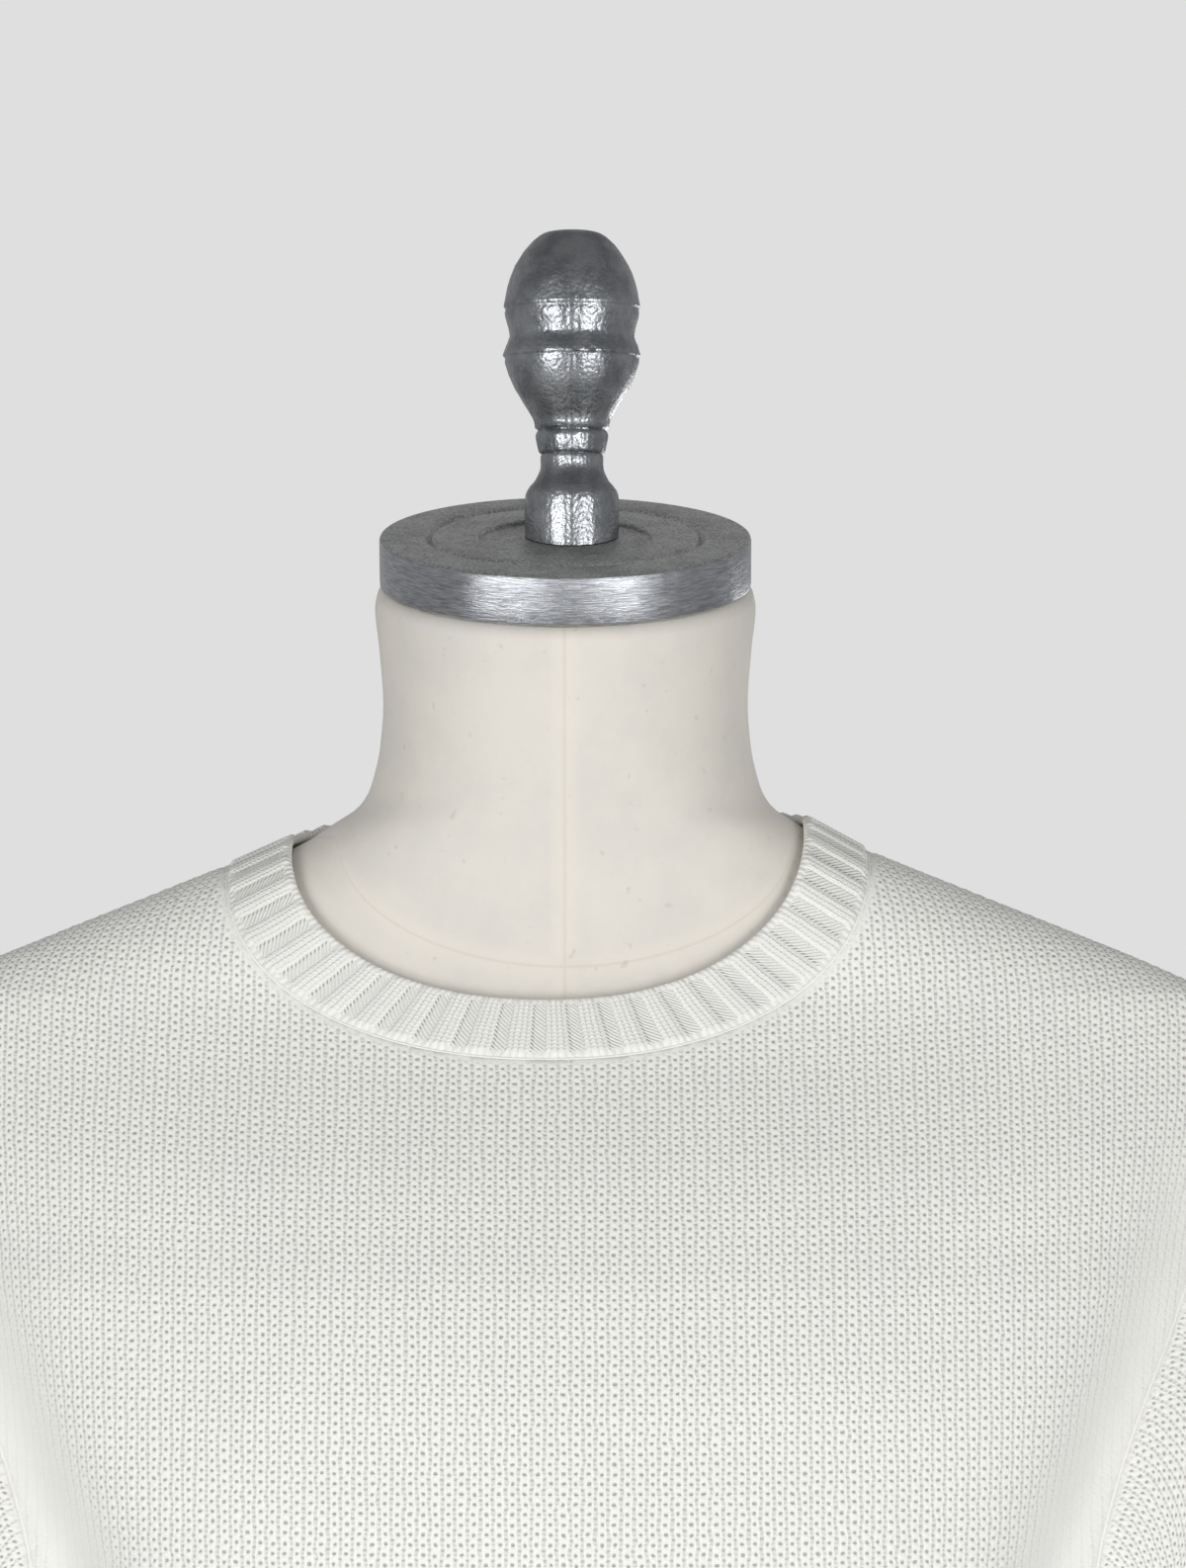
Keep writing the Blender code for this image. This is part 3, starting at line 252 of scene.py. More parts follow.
pole_low, pole_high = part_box("pole")
pole_profile = [(POLE_RADIUS, pole_high.z / MM), (POLE_RADIUS, pole_low.z / MM)]
pole_points, pole_faces = turned_rings(pole_profile, TURNED_SIDES // 2)
pole = make_piece("steel_pole", pole_points * MM, pole_faces, steel)
pole.data.set_sharp_from_angle(angle=math.radians(40.0))
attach(pole, "root")
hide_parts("pole")


# The dress form: a padded torso and neck under one tight cream cotton cover, with a seam down
# the centre of the front and the back, and one round the neck's foot.
FORM_SECTIONS = (
    # rise, half_width, front, back, side, fullness, lean
    (67.2, 61.0, -58.5, 59.0, 0.2, 2.0, 16.0),
    (65.8, 63.6, -61.0, 61.8, 0.6, 2.0, 16.0),
    (60.0, 64.8, -60.0, 64.6, 2.3, 2.0, 15.5),
    (48.0, 63.6, -55.5, 67.0, 5.7, 2.0, 14.0),
    (28.0, 62.3, -49.5, 72.0, 11.5, 2.0, 11.0),
    (13.0, 63.5, -46.0, 77.5, 15.8, 2.0, 8.0),
    (3.0, 65.7, -44.0, 81.0, 18.0, 2.0, 5.0),
    (-2.0, 67.3, -42.8, 82.8, 18.0, 2.0, 3.5),
    (-7.4, 70.8, -41.5, 84.5, 17.5, 2.0, 2.0),
    (-13.0, 79.0, -40.0, 87.0, 17.0, 1.95, 1.0),
    (-18.0, 86.5, -38.6, 89.0, 16.0, 1.9, 0.0),
    (-24.0, 97.5, -37.0, 91.5, 15.0, 1.85, 0.0),
    (-30.0, 111.0, -35.6, 94.0, 13.8, 1.8, 0.0),
    (-38.6, 132.5, -34.4, 97.0, 12.7, 1.8, 0.0),
    (-45.4, 150.0, -33.5, 99.5, 11.5, 1.82, 0.0),
    (-55.4, 175.0, -33.0, 102.5, 10.2, 1.88, 0.0),
    (-63.6, 194.0, -33.0, 104.5, 9.2, 1.95, 0.0),
    (-69.0, 201.0, -33.4, 106.0, 8.5, 2.0, 0.0),
    (-78.0, 205.0, -36.5, 108.0, 7.8, 2.1, 0.0),
    (-92.0, 206.0, -45.5, 110.0, 7.0, 2.2, 0.0),
    (-110.0, 205.0, -60.0, 111.7, 6.0, 2.25, 0.0),
    (-130.0, 203.0, -76.5, 113.0, 5.0, 2.3, 0.0),
    (-150.0, 200.0, -90.5, 113.6, 3.5, 2.3, 0.0),
    (-170.0, 196.5, -102.5, 114.0, 2.0, 2.35, 0.0),
    (-208.0, 189.0, -119.0, 113.7, -1.0, 2.35, 0.0),
    (-250.0, 184.0, -129.3, 112.6, -4.0, 2.35, 0.0),
    (-290.0, 182.0, -132.8, 110.6, -6.0, 2.35, 0.0),
    (-320.0, 181.0, -131.5, 108.5, -6.0, 2.35, 0.0),
    (-400.0, 169.0, -115.0, 96.0, -6.0, 2.3, 0.0),
    (-480.0, 158.0, -98.0, 84.0, -5.0, 2.25, 0.0),
    (-560.0, 166.0, -104.0, 95.0, -4.0, 2.25, 0.0),
    (-610.0, 169.5, -106.5, 100.5, -3.0, 2.3, 0.0),
    (-645.0, 169.5, -106.5, 101.0, -3.0, 2.3, 0.0),
    (-705.0, 167.0, -105.0, 100.5, -3.0, 2.3, 0.0),
    (-735.0, 165.5, -104.0, 100.0, -3.0, 2.3, 0.0),
    (-744.0, 158.0, -98.0, 95.0, -3.0, 2.3, 0.0),
)
FORM_SIDES = 240
NECK_RINGS_STEP = 2.0
TORSO_RINGS_STEP = 9.0
NECK_RINGS_END = -110.0
LAST_RINGS = (-739.0, -742.5)
SEAM_GROOVE_DEPTH = 0.24
SEAM_GROOVE_WIDTH = 1.1
NECK_SEAM_FRONT = -62.0
NECK_SEAM_RISE = 44.0
NECK_SEAM_REACH = 77.0


class SmoothTable:
    """Rows of sizes by level, read with a monotone cubic between the rows."""

    def __init__(self, rows):
        ordered = np.array(sorted(rows), float)
        self.levels, self.values = ordered[:, 0], ordered[:, 1:]
        steps = np.diff(self.values, axis=0) / np.diff(self.levels)[:, None]
        self.slopes = np.vstack((steps[:1], np.zeros_like(steps[1:]), steps[-1:]))
        product, total = steps[:-1] * steps[1:], steps[:-1] + steps[1:]
        rising = product > 0.0
        self.slopes[1:-1] = np.where(rising, 2.0 * product / np.where(rising, total, 1.0), 0.0)

    def at(self, level):
        level = np.clip(np.asarray(level, float), self.levels[0], self.levels[-1])
        row = np.clip(np.searchsorted(self.levels, level, side="right") - 1, 0, len(self.levels) - 2)
        span = (self.levels[row + 1] - self.levels[row])[..., None]
        part = (level - self.levels[row])[..., None] / span
        return (
            self.values[row] * (2 * part**3 - 3 * part**2 + 1)
            + self.slopes[row] * span * (part**3 - 2 * part**2 + part)
            + self.values[row + 1] * (3 * part**2 - 2 * part**3)
            + self.slopes[row + 1] * span * (part**3 - part**2)
        )


class Figure:
    """A stack of sections, each two half superellipses: angle 0 is the front, 180 the back."""

    ARC_ANGLES = np.linspace(0.0, 90.0, 181)

    def __init__(self, rows, fold=None):
        self.table = SmoothTable(rows)
        self.fold = fold

    def point(self, angle, level):
        angle, level = np.broadcast_arrays(np.asarray(angle, float), np.asarray(level, float))
        values = self.table.at(level)
        half_width, front, back, side, fullness = (values[..., i] for i in range(5))
        sine, cosine = np.sin(np.radians(angle)), np.cos(np.radians(angle))
        power = 2.0 / fullness
        x = half_width * np.sign(sine) * np.abs(sine) ** power
        y = side + np.where(cosine >= 0.0, front - side, back - side) * np.abs(cosine) ** power
        if self.fold is not None:
            y = y + self.fold(x, level, cosine)
        lean = values[..., 5] if values.shape[-1] > 5 else np.zeros_like(level)
        z = level + (y - side) * np.tan(np.radians(lean))
        return np.stack((x * MM, y * MM, z * MM + NECK_LEVEL), axis=-1)

    def normal(self, angle, level, round_step=0.8, up_step=0.4):
        round_it = self.point(angle + round_step, level) - self.point(angle - round_step, level)
        up_it = self.point(angle, level + up_step) - self.point(angle, level - up_step)
        return unit(np.cross(round_it, up_it))

    def arcs(self, levels, back):
        """Lengths walked from the centre line to each of ARC_ANGLES, a row for each level, in mm."""
        angles = 180.0 - self.ARC_ANGLES if back else self.ARC_ANGLES
        places = self.point(angles[None, :], np.asarray(levels, float)[:, None]) / MM
        steps = np.linalg.norm(np.diff(places, axis=1), axis=2)
        return np.hstack((np.zeros((len(steps), 1)), np.cumsum(steps, axis=1)))


def unit(vectors):
    return vectors / np.maximum(np.linalg.norm(vectors, axis=-1, keepdims=True), 1e-12)


form_figure = Figure(FORM_SECTIONS)
form_levels = np.concatenate((
    np.arange(FORM_SECTIONS[0][0], NECK_RINGS_END, -NECK_RINGS_STEP),
    np.arange(NECK_RINGS_END, FORM_SECTIONS[-2][0], -TORSO_RINGS_STEP),
    (FORM_SECTIONS[-2][0], *LAST_RINGS, FORM_SECTIONS[-1][0]),
))
quarter = FORM_SIDES // 4
front_arcs, back_arcs = form_figure.arcs(form_levels, False), form_figure.arcs(form_levels, True)
form_angles = []
for front_row, back_row in zip(front_arcs, back_arcs):
    shares = np.arange(quarter + 1) / quarter
    ahead = np.interp(shares * front_row[-1], front_row, Figure.ARC_ANGLES)
    behind = 180.0 - np.interp(shares * back_row[-1], back_row, Figure.ARC_ANGLES)
    half = np.concatenate((ahead, behind[::-1][1:]))
    form_angles.append(np.concatenate((half, 360.0 - half[::-1][1:-1])))
form_angles = np.array(form_angles)
form_grid = form_figure.point(form_angles, form_levels[:, None])
form_normals = form_figure.normal(form_angles, form_levels[:, None])
form_x = form_grid[..., 0] / MM
form_rise = (form_grid[..., 2] - NECK_LEVEL) / MM
neck_seam = NECK_SEAM_FRONT + NECK_SEAM_RISE * (
    1.0 - np.sqrt(np.clip(1.0 - (form_x / NECK_SEAM_REACH) ** 2, 0.0, 1.0)))
front_share = np.clip(np.cos(np.radians(form_angles)), -1.0, 1.0)
neck_seam = np.where(front_share > 0.0, neck_seam, NECK_SEAM_FRONT + NECK_SEAM_RISE)
from_neck_seam = form_rise - neck_seam
form_seams = np.stack((form_x, from_neck_seam, np.zeros_like(form_x)), axis=-1)
groove = np.exp(-((form_x / SEAM_GROOVE_WIDTH) ** 2))
groove += np.exp(-((from_neck_seam / SEAM_GROOVE_WIDTH) ** 2))
form_grid = form_grid - form_normals * (groove * SEAM_GROOVE_DEPTH * MM)[..., None]
form_count = len(form_levels)
form_faces = []
for ring in range(form_count - 1):
    for spot in range(FORM_SIDES):
        right = (spot + 1) % FORM_SIDES
        form_faces.append((
            ring * FORM_SIDES + spot, (ring + 1) * FORM_SIDES + spot,
            (ring + 1) * FORM_SIDES + right, ring * FORM_SIDES + right,
        ))
form_faces.append(tuple(range(FORM_SIDES)))
form_faces.append(tuple((form_count - 1) * FORM_SIDES + spot for spot in range(FORM_SIDES))[::-1])

COVER_CREAM = (0.725, 0.684, 0.618)
COVER_SEAM_CREAM = (0.752, 0.705, 0.628)
COVER_GREY = (0.672, 0.645, 0.598)
cover, tree, shader = new_material(
    "cream_cotton_cover", Roughness=0.92, Sheen_Weight=0.15, Sheen_Roughness=0.5)
place = add_node(tree, "ShaderNodeTexCoord").outputs["Object"]
seams = add_node(tree, "ShaderNodeAttribute", attribute_name="seams").outputs["Vector"]
parts = add_node(tree, "ShaderNodeSeparateXYZ", {"Vector": seams})
centre = maths(tree, "ABSOLUTE", parts.outputs["X"])
foot_line = maths(tree, "ABSOLUTE", parts.outputs["Y"])
nearest = maths(tree, "MINIMUM", centre, foot_line)
allowance = maths(tree, "SUBTRACT", 1.0, between(tree, nearest, 2.0, 6.5))
line = maths(tree, "SUBTRACT", 1.0, between(tree, nearest, 0.15, 0.75))
slubs = add_node(tree, "ShaderNodeTexNoise", {
    "Vector": place, "Scale": 34.0, "Detail": 6.0, "Roughness": 0.62})
weave_fine = add_node(tree, "ShaderNodeTexNoise", {"Vector": place, "Scale": 1300.0, "Detail": 2.0})
specks = add_node(tree, "ShaderNodeTexNoise", {"Vector": place, "Scale": 260.0, "Detail": 1.0})
tone = mix_colour(tree, between(tree, slubs.outputs[0], 0.35, 0.68), COVER_CREAM, COVER_GREY)
tone = mix_colour(tree, maths(tree, "MULTIPLY", allowance, 0.60), tone, COVER_SEAM_CREAM)
tone = mix_colour(tree, maths(tree, "MULTIPLY", line, 0.24), tone, (0.52, 0.47, 0.40))
speckled = maths(tree, "MULTIPLY", between(tree, specks.outputs[0], 0.70, 0.80), 0.30)
tone = mix_colour(tree, speckled, tone, (0.45, 0.42, 0.36))
tree.links.new(tone, shader.inputs["Base Color"])
height = maths(tree, "ADD", weave_fine.outputs[0], maths(tree, "MULTIPLY", slubs.outputs[0], 1.5))
bump = add_node(tree, "ShaderNodeBump", {"Height": height, "Strength": 0.35, "Distance": 0.00015})
tree.links.new(bump.outputs[0], shader.inputs["Normal"])

form = make_piece(
    "form_torso", form_grid.reshape(-1, 3), form_faces, cover,
    point_values={"seams": form_seams.reshape(-1, 3)},
)
form.data.set_sharp_from_angle(angle=math.radians(60.0))
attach(form, "root")
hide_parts("dress_form")


# The neck cap: a cast disc that closes the slanted neck. Its rim is brushed bright, its top is
# duller, with a turned groove and a round recess that the knob stands in.
CAP_LEAN = math.radians(16.0)
CAP_MIDDLE = (0.0, -4.0, 84.3)
CAP_SIDES = 192
CAP_PROFILE = (
    # radius, height over the top face, from the recess out and down
    (29.2, -1.7), (29.4, -0.8), (29.8, -0.4), (30.4, -0.2), (37.0, -0.2), (44.4, -0.2),
    (45.1, -0.6), (45.7, -1.8), (46.4, -2.2), (47.1, -1.8), (47.7, -0.6), (48.4, 0.0),
    (54.0, 0.0), (61.8, 0.0), (62.5, -0.2), (62.9, -0.5), (63.2, -1.2), (63.2, -6.0),
    (63.2, -11.0), (63.2, -16.0), (62.9, -16.8), (62.4, -17.2),
)
RIM_RADIUS, RIM_LOW, RIM_HIGH = 63.2, -16.9, -0.5
RIM_FROM, RIM_TO = 62.6, 63.1
RIM_CHIPS = 26
RIM_CHIP_SEED = 7
CHIP_SIZES = (0.6, 1.6)
CHIP_DEPTH = 0.35
CHIPS_BELOW = 0.7

cap_points, cap_faces = turned_rings(CAP_PROFILE, CAP_SIDES)
cap_values = cap_points.copy()
chips = np.random.default_rng(RIM_CHIP_SEED)
for _ in range(RIM_CHIPS):
    turn = chips.uniform(0.0, 2.0 * math.pi)
    size = chips.uniform(*CHIP_SIZES)
    level = RIM_LOW if chips.random() < CHIPS_BELOW else RIM_HIGH
    spot = np.array((RIM_RADIUS * math.cos(turn), RIM_RADIUS * math.sin(turn), level))
    away = np.linalg.norm(cap_points - spot, axis=1) / size
    inwards = -unit(cap_points * np.array((1.0, 1.0, 0.0)))
    cap_points += inwards * (CHIP_DEPTH * np.exp(-away * away))[:, None]
lean_cos, lean_sin = math.cos(CAP_LEAN), math.sin(CAP_LEAN)
cap_points = np.column_stack((
    cap_points[:, 0] + CAP_MIDDLE[0],
    cap_points[:, 1] * lean_cos - cap_points[:, 2] * lean_sin + CAP_MIDDLE[1],
    cap_points[:, 1] * lean_sin + cap_points[:, 2] * lean_cos + CAP_MIDDLE[2],
)) * MM + np.array((0.0, 0.0, NECK_LEVEL))

cap_metal, tree, shader = new_material("brushed_cap_metal", Metallic=1.0)
place = add_node(tree, "ShaderNodeTexCoord").outputs["Object"]
turned = add_node(tree, "ShaderNodeAttribute", attribute_name="turned").outputs["Vector"]
level_round = add_node(
    tree, "ShaderNodeVectorMath", {0: turned, 1: (1.0, 1.0, 0.0)}, operation="MULTIPLY")
from_axis = add_node(tree, "ShaderNodeVectorMath", {0: level_round.outputs[0]}, operation="LENGTH")
rim = between(tree, from_axis.outputs["Value"], RIM_FROM, RIM_TO)
brushing = add_node(tree, "ShaderNodeMapping", {"Vector": turned, "Scale": (0.16, 0.16, 2.6)}).outputs[0]
brushed = add_node(tree, "ShaderNodeTexNoise", {
    "Vector": brushing, "Scale": 1.0, "Detail": 5.0, "Roughness": 0.65})
cast = use_group(tree, METAL_GRAIN, {"Vector": place, "Pit Scale": 950.0, "Patch Scale": 95.0})
blotches = maths(tree, "MULTIPLY", cast.outputs["Patches"], 0.5)
top_grain = between(tree, maths(tree, "MULTIPLY_ADD", cast.outputs["Pits"], 1.3, blotches), 0.72, 1.06)
top_tone = mix_colour(tree, top_grain, (0.370, 0.375, 0.359), (0.670, 0.675, 0.648))
rim_streaks = between(tree, brushed.outputs[0], 0.34, 0.68)
rim_tone = mix_colour(tree, rim_streaks, (0.26, 0.27, 0.285), (0.54, 0.55, 0.575))
tree.links.new(mix_colour(tree, rim, top_tone, rim_tone), shader.inputs["Base Color"])
roughness = add_node(tree, "ShaderNodeMix", {"Factor": rim, "A": 0.42, "B": 0.25}, data_type="FLOAT")
tree.links.new(roughness.outputs[0], shader.inputs["Roughness"])
relief = add_node(
    tree, "ShaderNodeMix", {"Factor": rim, "A": cast.outputs["Pits"], "B": brushed.outputs[0]},
    data_type="FLOAT").outputs[0]
bump = add_node(tree, "ShaderNodeBump", {"Height": relief, "Strength": 0.6, "Distance": 0.0003})
tree.links.new(bump.outputs[0], shader.inputs["Normal"])

cap = make_piece("metal_cap", cap_points, cap_faces, cap_metal, point_values={"turned": cap_values})
cap.data.set_sharp_from_angle(angle=math.radians(50.0))
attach(cap, "root")
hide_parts("neck_cap")


# The knob: one casting, turned over and left pebbly, with a ridge on each swelling, two cut
# lines at its neck and the mould's line down the front and the back.
KNOB_MIDDLE = (2.2, 4.0)
KNOB_PROFILE = (
    # radius, height over the neck's foot, from the top down
    (3.0, 188.9), (6.7, 188.7), (8.6, 188.3), (10.0, 187.8), (11.5, 186.8), (13.1, 185.5),
    (14.5, 184.0), (16.5, 181.6), (18.0, 179.2), (19.4, 176.9), (20.4, 174.5), (21.3, 172.1),
    (22.0, 169.7), (22.5, 167.4), (22.9, 165.0), (23.2, 163.6), (23.3, 162.9), (22.8, 162.3),
    (22.7, 161.6), (22.9, 160.7), (22.7, 159.3), (22.2, 157.4), (21.7, 155.5), (21.3, 153.8),
    (21.3, 152.7), (21.7, 151.2), (22.3, 149.8), (23.0, 147.9), (23.3, 146.7), (23.4, 146.0),
    (22.9, 145.5), (22.8, 144.8), (22.9, 144.0), (22.7, 143.2), (22.1, 141.3), (21.5, 139.4),
    (20.4, 137.0), (19.3, 134.6),
    (17.9, 132.3), (16.4, 129.9), (15.3, 128.0), (14.1, 126.1), (13.3, 124.7), (12.8, 123.3),
    (12.6, 121.5), (11.9, 121.0), (11.6, 120.5), (12.0, 120.0), (12.3, 119.0), (12.3, 117.6),
    (11.8, 115.7), (11.4, 113.7), (11.0, 113.0), (10.3, 112.5), (10.6, 111.9), (10.7, 110.9),
    (10.6, 109.1), (10.8, 107.2), (11.6, 105.3), (12.6, 103.4), (14.1, 101.7), (15.2, 100.1),
    (15.8, 98.6), (16.0, 96.7), (16.0, 92.9),
)
KNOB_SIDES = 144
KNOB_FOOT_RADIUS = 16.0
KNOB_GAP = 0.3
MOULD_RIDGE = 0.22
MOULD_RIDGE_WIDTH = 0.8
PEBBLE_DEPTH = 0.07
PEBBLE_SEED = 11
PEBBLED_FROM, PEBBLED_TO = 92.0, 187.0

recess_level = CAP_MIDDLE[2] + (CAP_PROFILE[0][1] + KNOB_GAP) / lean_cos
knob_profile = list(KNOB_PROFILE) + [(KNOB_FOOT_RADIUS, recess_level)]
knob_points, knob_faces = turned_rings(knob_profile, KNOB_SIDES)
knob_outward = unit(knob_points * np.array((1.0, 1.0, 0.0)))
from_mould_line = np.abs(knob_points[:, 0])
ridge = MOULD_RIDGE * np.exp(-((from_mould_line / MOULD_RIDGE_WIDTH) ** 2))
pebbles = np.random.default_rng(PEBBLE_SEED).normal(0.0, PEBBLE_DEPTH, len(knob_points))
body = (knob_points[:, 2] > PEBBLED_FROM) & (knob_points[:, 2] < PEBBLED_TO)
knob_points = knob_points + knob_outward * ((ridge + pebbles) * body)[:, None]
foot_ring = np.arange(len(knob_points) - KNOB_SIDES, len(knob_points))
knob_points[foot_ring, 2] = recess_level + (
    knob_points[foot_ring, 1] + KNOB_MIDDLE[1] - CAP_MIDDLE[1]) * lean_sin / lean_cos
knob_points = (knob_points + np.array((*KNOB_MIDDLE, 0.0))) * MM + np.array((0.0, 0.0, NECK_LEVEL))

cast_metal, tree, shader = new_material("cast_knob_metal", Metallic=1.0)
place = add_node(tree, "ShaderNodeTexCoord").outputs["Object"]
cast = use_group(tree, METAL_GRAIN, {"Vector": place, "Pit Scale": 620.0, "Patch Scale": 120.0})
pebble = add_node(tree, "ShaderNodeTexVoronoi", {"Vector": place, "Scale": 900.0}, feature="SMOOTH_F1")
clouds = between(tree, cast.outputs["Patches"], 0.32, 0.68)
tone = mix_colour(tree, clouds, (0.24, 0.25, 0.265), (0.38, 0.39, 0.405))
tree.links.new(tone, shader.inputs["Base Color"])
roughness = add_node(tree, "ShaderNodeMapRange", {
    "Value": cast.outputs["Pits"], "From Min": 0.3, "From Max": 0.7, "To Min": 0.22, "To Max": 0.38})
tree.links.new(roughness.outputs[0], shader.inputs["Roughness"])
height = maths(tree, "ADD", maths(tree, "MULTIPLY", pebble.outputs["Distance"], 0.8), cast.outputs["Pits"])
bump = add_node(tree, "ShaderNodeBump", {"Height": height, "Strength": 0.55, "Distance": 0.0003})
tree.links.new(bump.outputs[0], shader.inputs["Normal"])

knob = make_piece("cast_knob", knob_points, knob_faces, cast_metal)
knob.data.set_sharp_from_angle(angle=math.radians(55.0))
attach(knob, "root")
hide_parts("knob")


# The front and the back: flat knitted panels with shaped armholes and a scooped neck, in a
# close fancy stitch of staggered holes and grains. Each grain is one point of the mesh.
SWEATER_SECTIONS = (
    # rise, half_width, front, back, side, fullness
    (6.0, 70.0, -49.0, 90.0, 18.0, 2.0),
    (-2.0, 74.0, -47.0, 92.0, 18.0, 1.95),
    (-8.0, 77.7, -45.5, 94.0, 17.5, 1.9),
    (-13.0, 85.0, -44.0, 96.0, 16.5, 1.85),
    (-18.0, 93.5, -43.0, 98.0, 15.5, 1.8),
    (-23.0, 104.0, -42.0, 100.0, 14.5, 1.8),
    (-27.6, 115.0, -41.5, 101.5, 13.5, 1.8),
    (-35.6, 135.0, -40.0, 104.0, 12.5, 1.8),
    (-43.6, 155.0, -39.2, 106.0, 11.5, 1.82),
    (-51.6, 175.0, -38.8, 108.0, 10.5, 1.86),
    (-59.7, 195.0, -38.6, 109.5, 9.5, 1.92),
    (-67.7, 213.0, -38.9, 111.0, 8.5, 2.0),
    (-71.6, 221.0, -39.6, 111.7, 8.0, 2.05),
    (-78.0, 226.0, -42.5, 112.7, 7.5, 2.1),
    (-92.0, 229.0, -51.5, 114.5, 7.0, 2.2),
    (-110.0, 229.0, -66.0, 116.0, 6.0, 2.25),
    (-130.0, 226.0, -82.0, 117.5, 5.0, 2.3),
    (-150.0, 222.0, -95.5, 118.0, 3.5, 2.3),
    (-170.0, 218.5, -107.5, 118.3, 2.0, 2.35),
    (-208.0, 211.0, -123.5, 118.0, -1.0, 2.35),
    (-250.0, 202.0, -133.5, 117.0, -4.0, 2.35),
    (-290.0, 194.5, -137.0, 115.0, -6.0, 2.35),
    (-320.0, 191.0, -136.5, 113.5, -6.0, 2.35),
    (-400.0, 186.0, -131.0, 109.0, -6.0, 2.32),
    (-480.0, 183.0, -125.0, 107.5, -5.0, 2.3),
    (-560.0, 185.0, -123.5, 111.5, -4.0, 2.3),
    (-610.0, 186.0, -122.5, 114.0, -3.0, 2.3),
    (-645.0, 181.0, -118.0, 111.5, -3.0, 2.3),
    (-675.0, 178.5, -115.0, 110.0, -3.0, 2.3),
    (-705.0, 177.0, -114.0, 109.5, -3.0, 2.3),
)
ARM_FOLD_WIDTH = 15.0
FOLD_CALM = 9.0
ARM_FOLD = (
    # rise, offset from the centre line, depth
    (-105.0, 216.0, 0.0),
    (-150.0, 204.0, 8.0),
    (-200.0, 185.0, 13.0),
    (-260.0, 159.0, 14.0),
    (-310.0, 142.0, 8.0),
    (-360.0, 132.0, 0.0),
)
ARMHOLE_FRONT = (
    # rise, angle
    (-71.6, 90.0), (-83.0, 82.0), (-105.0, 77.0), (-130.0, 74.5), (-155.0, 71.5), (-184.0, 66.9),
    (-208.0, 62.5), (-232.0, 59.6), (-256.0, 58.2), (-281.0, 60.5), (-298.0, 68.0), (-310.0, 78.0),
    (-318.0, 90.0),
)
ARMHOLE_BACK = (
    # rise, angle
    (-71.6, 90.0), (-83.0, 83.0), (-105.0, 79.0), (-130.0, 76.5), (-155.0, 74.0), (-184.0, 70.5),
    (-208.0, 67.5), (-232.0, 65.0), (-256.0, 63.5), (-281.0, 64.0), (-298.0, 70.0), (-310.0, 79.0),
    (-318.0, 90.0),
)
HEM_TOP = -645.0
HEM_BOTTOM = -705.0
ARMHOLE_SIDE = -318.0
SHOULDER_POINT = -71.6
NECK_SHIFT = -5.9
SEAM_HALF_WIDTH, SEAM_FRONT, SEAM_BACK = 109.0, -92.5, -22.0
EDGE_HALF_WIDTH, EDGE_FRONT, EDGE_BACK = 87.4, -72.6, -2.0
NECK_SQUARENESS = 2.2
CLOTH = 2.0
SEAM_GAP = 0.3
WALE = 2.04
COURSE = 1.62
RIM_STEP = 2.0
INNER_WALES, INNER_COURSES, INNER_EDGE = 5, 6, 3.0
EDGE_CLEAR = 0.55
CREASE_FADE = 14.0
SWELL_RISE, SWELL_REACH = 0.45, 2.4
STITCH_FROM, STITCH_FADE = 0.6, 1.6
QUIET_FROM, QUIET_FADE = 1.4, 2.0
CALM_SHARE = 0.85
HEM_SAMPLES, SIDE_SAMPLES, SHOULDER_SAMPLES, ARMHOLE_SAMPLES = 400, 300, 200, 600
POINT_BLOCK = 4000
STITCH_DEPTH = 0.23
WALE_GROOVE = 0.13
SLEEVE_TURN = 0.5
SLEEVE_FALL = -0.4
FRONT_CREASES = (
    # from across (to the right as it is seen, mm), from rise, to across, to rise, width, depth
    (178.0, -330.0, 92.0, -392.0, 13.0, 2.6),
    (-180.0, -336.0, -104.0, -384.0, 12.0, 2.2),
    (206.0, -352.0, 150.0, -446.0, 15.0, 2.4),
    (-208.0, -356.0, -146.0, -462.0, 16.0, 2.8),
    (70.0, -596.0, 132.0, -492.0, 17.0, 2.2),
    (-58.0, -612.0, -126.0, -520.0, 18.0, 2.4),
    (12.0, -622.0, -16.0, -500.0, 20.0, 1.6),
    (172.0, -622.0, 216.0, -520.0, 16.0, 2.8),
    (-168.0, -616.0, -212.0, -540.0, 15.0, 2.4),
    (142.0, -132.0, 112.0, -214.0, 24.0, 1.2),
    (-146.0, -136.0, -112.0, -220.0, 24.0, 1.1),
)
BACK_CREASES = (
    (176.0, -330.0, 100.0, -394.0, 15.0, 2.8),
    (-180.0, -336.0, -92.0, -388.0, 14.0, 2.6),
    (206.0, -360.0, 160.0, -462.0, 16.0, 2.6),
    (-208.0, -362.0, -164.0, -448.0, 17.0, 2.8),
    (86.0, -612.0, 58.0, -500.0, 19.0, 2.4),
    (-92.0, -604.0, -46.0, -512.0, 18.0, 2.6),
    (10.0, -622.0, -8.0, -510.0, 22.0, 1.8),
    (172.0, -620.0, 196.0, -530.0, 15.0, 2.2),
    (-168.0, -616.0, -200.0, -520.0, 16.0, 2.4),
    (86.0, -120.0, 146.0, -196.0, 20.0, 1.8),
    (-84.0, -122.0, -140.0, -192.0, 20.0, 1.6),
)
ARM_FOLD_TABLE = SmoothTable(ARM_FOLD)


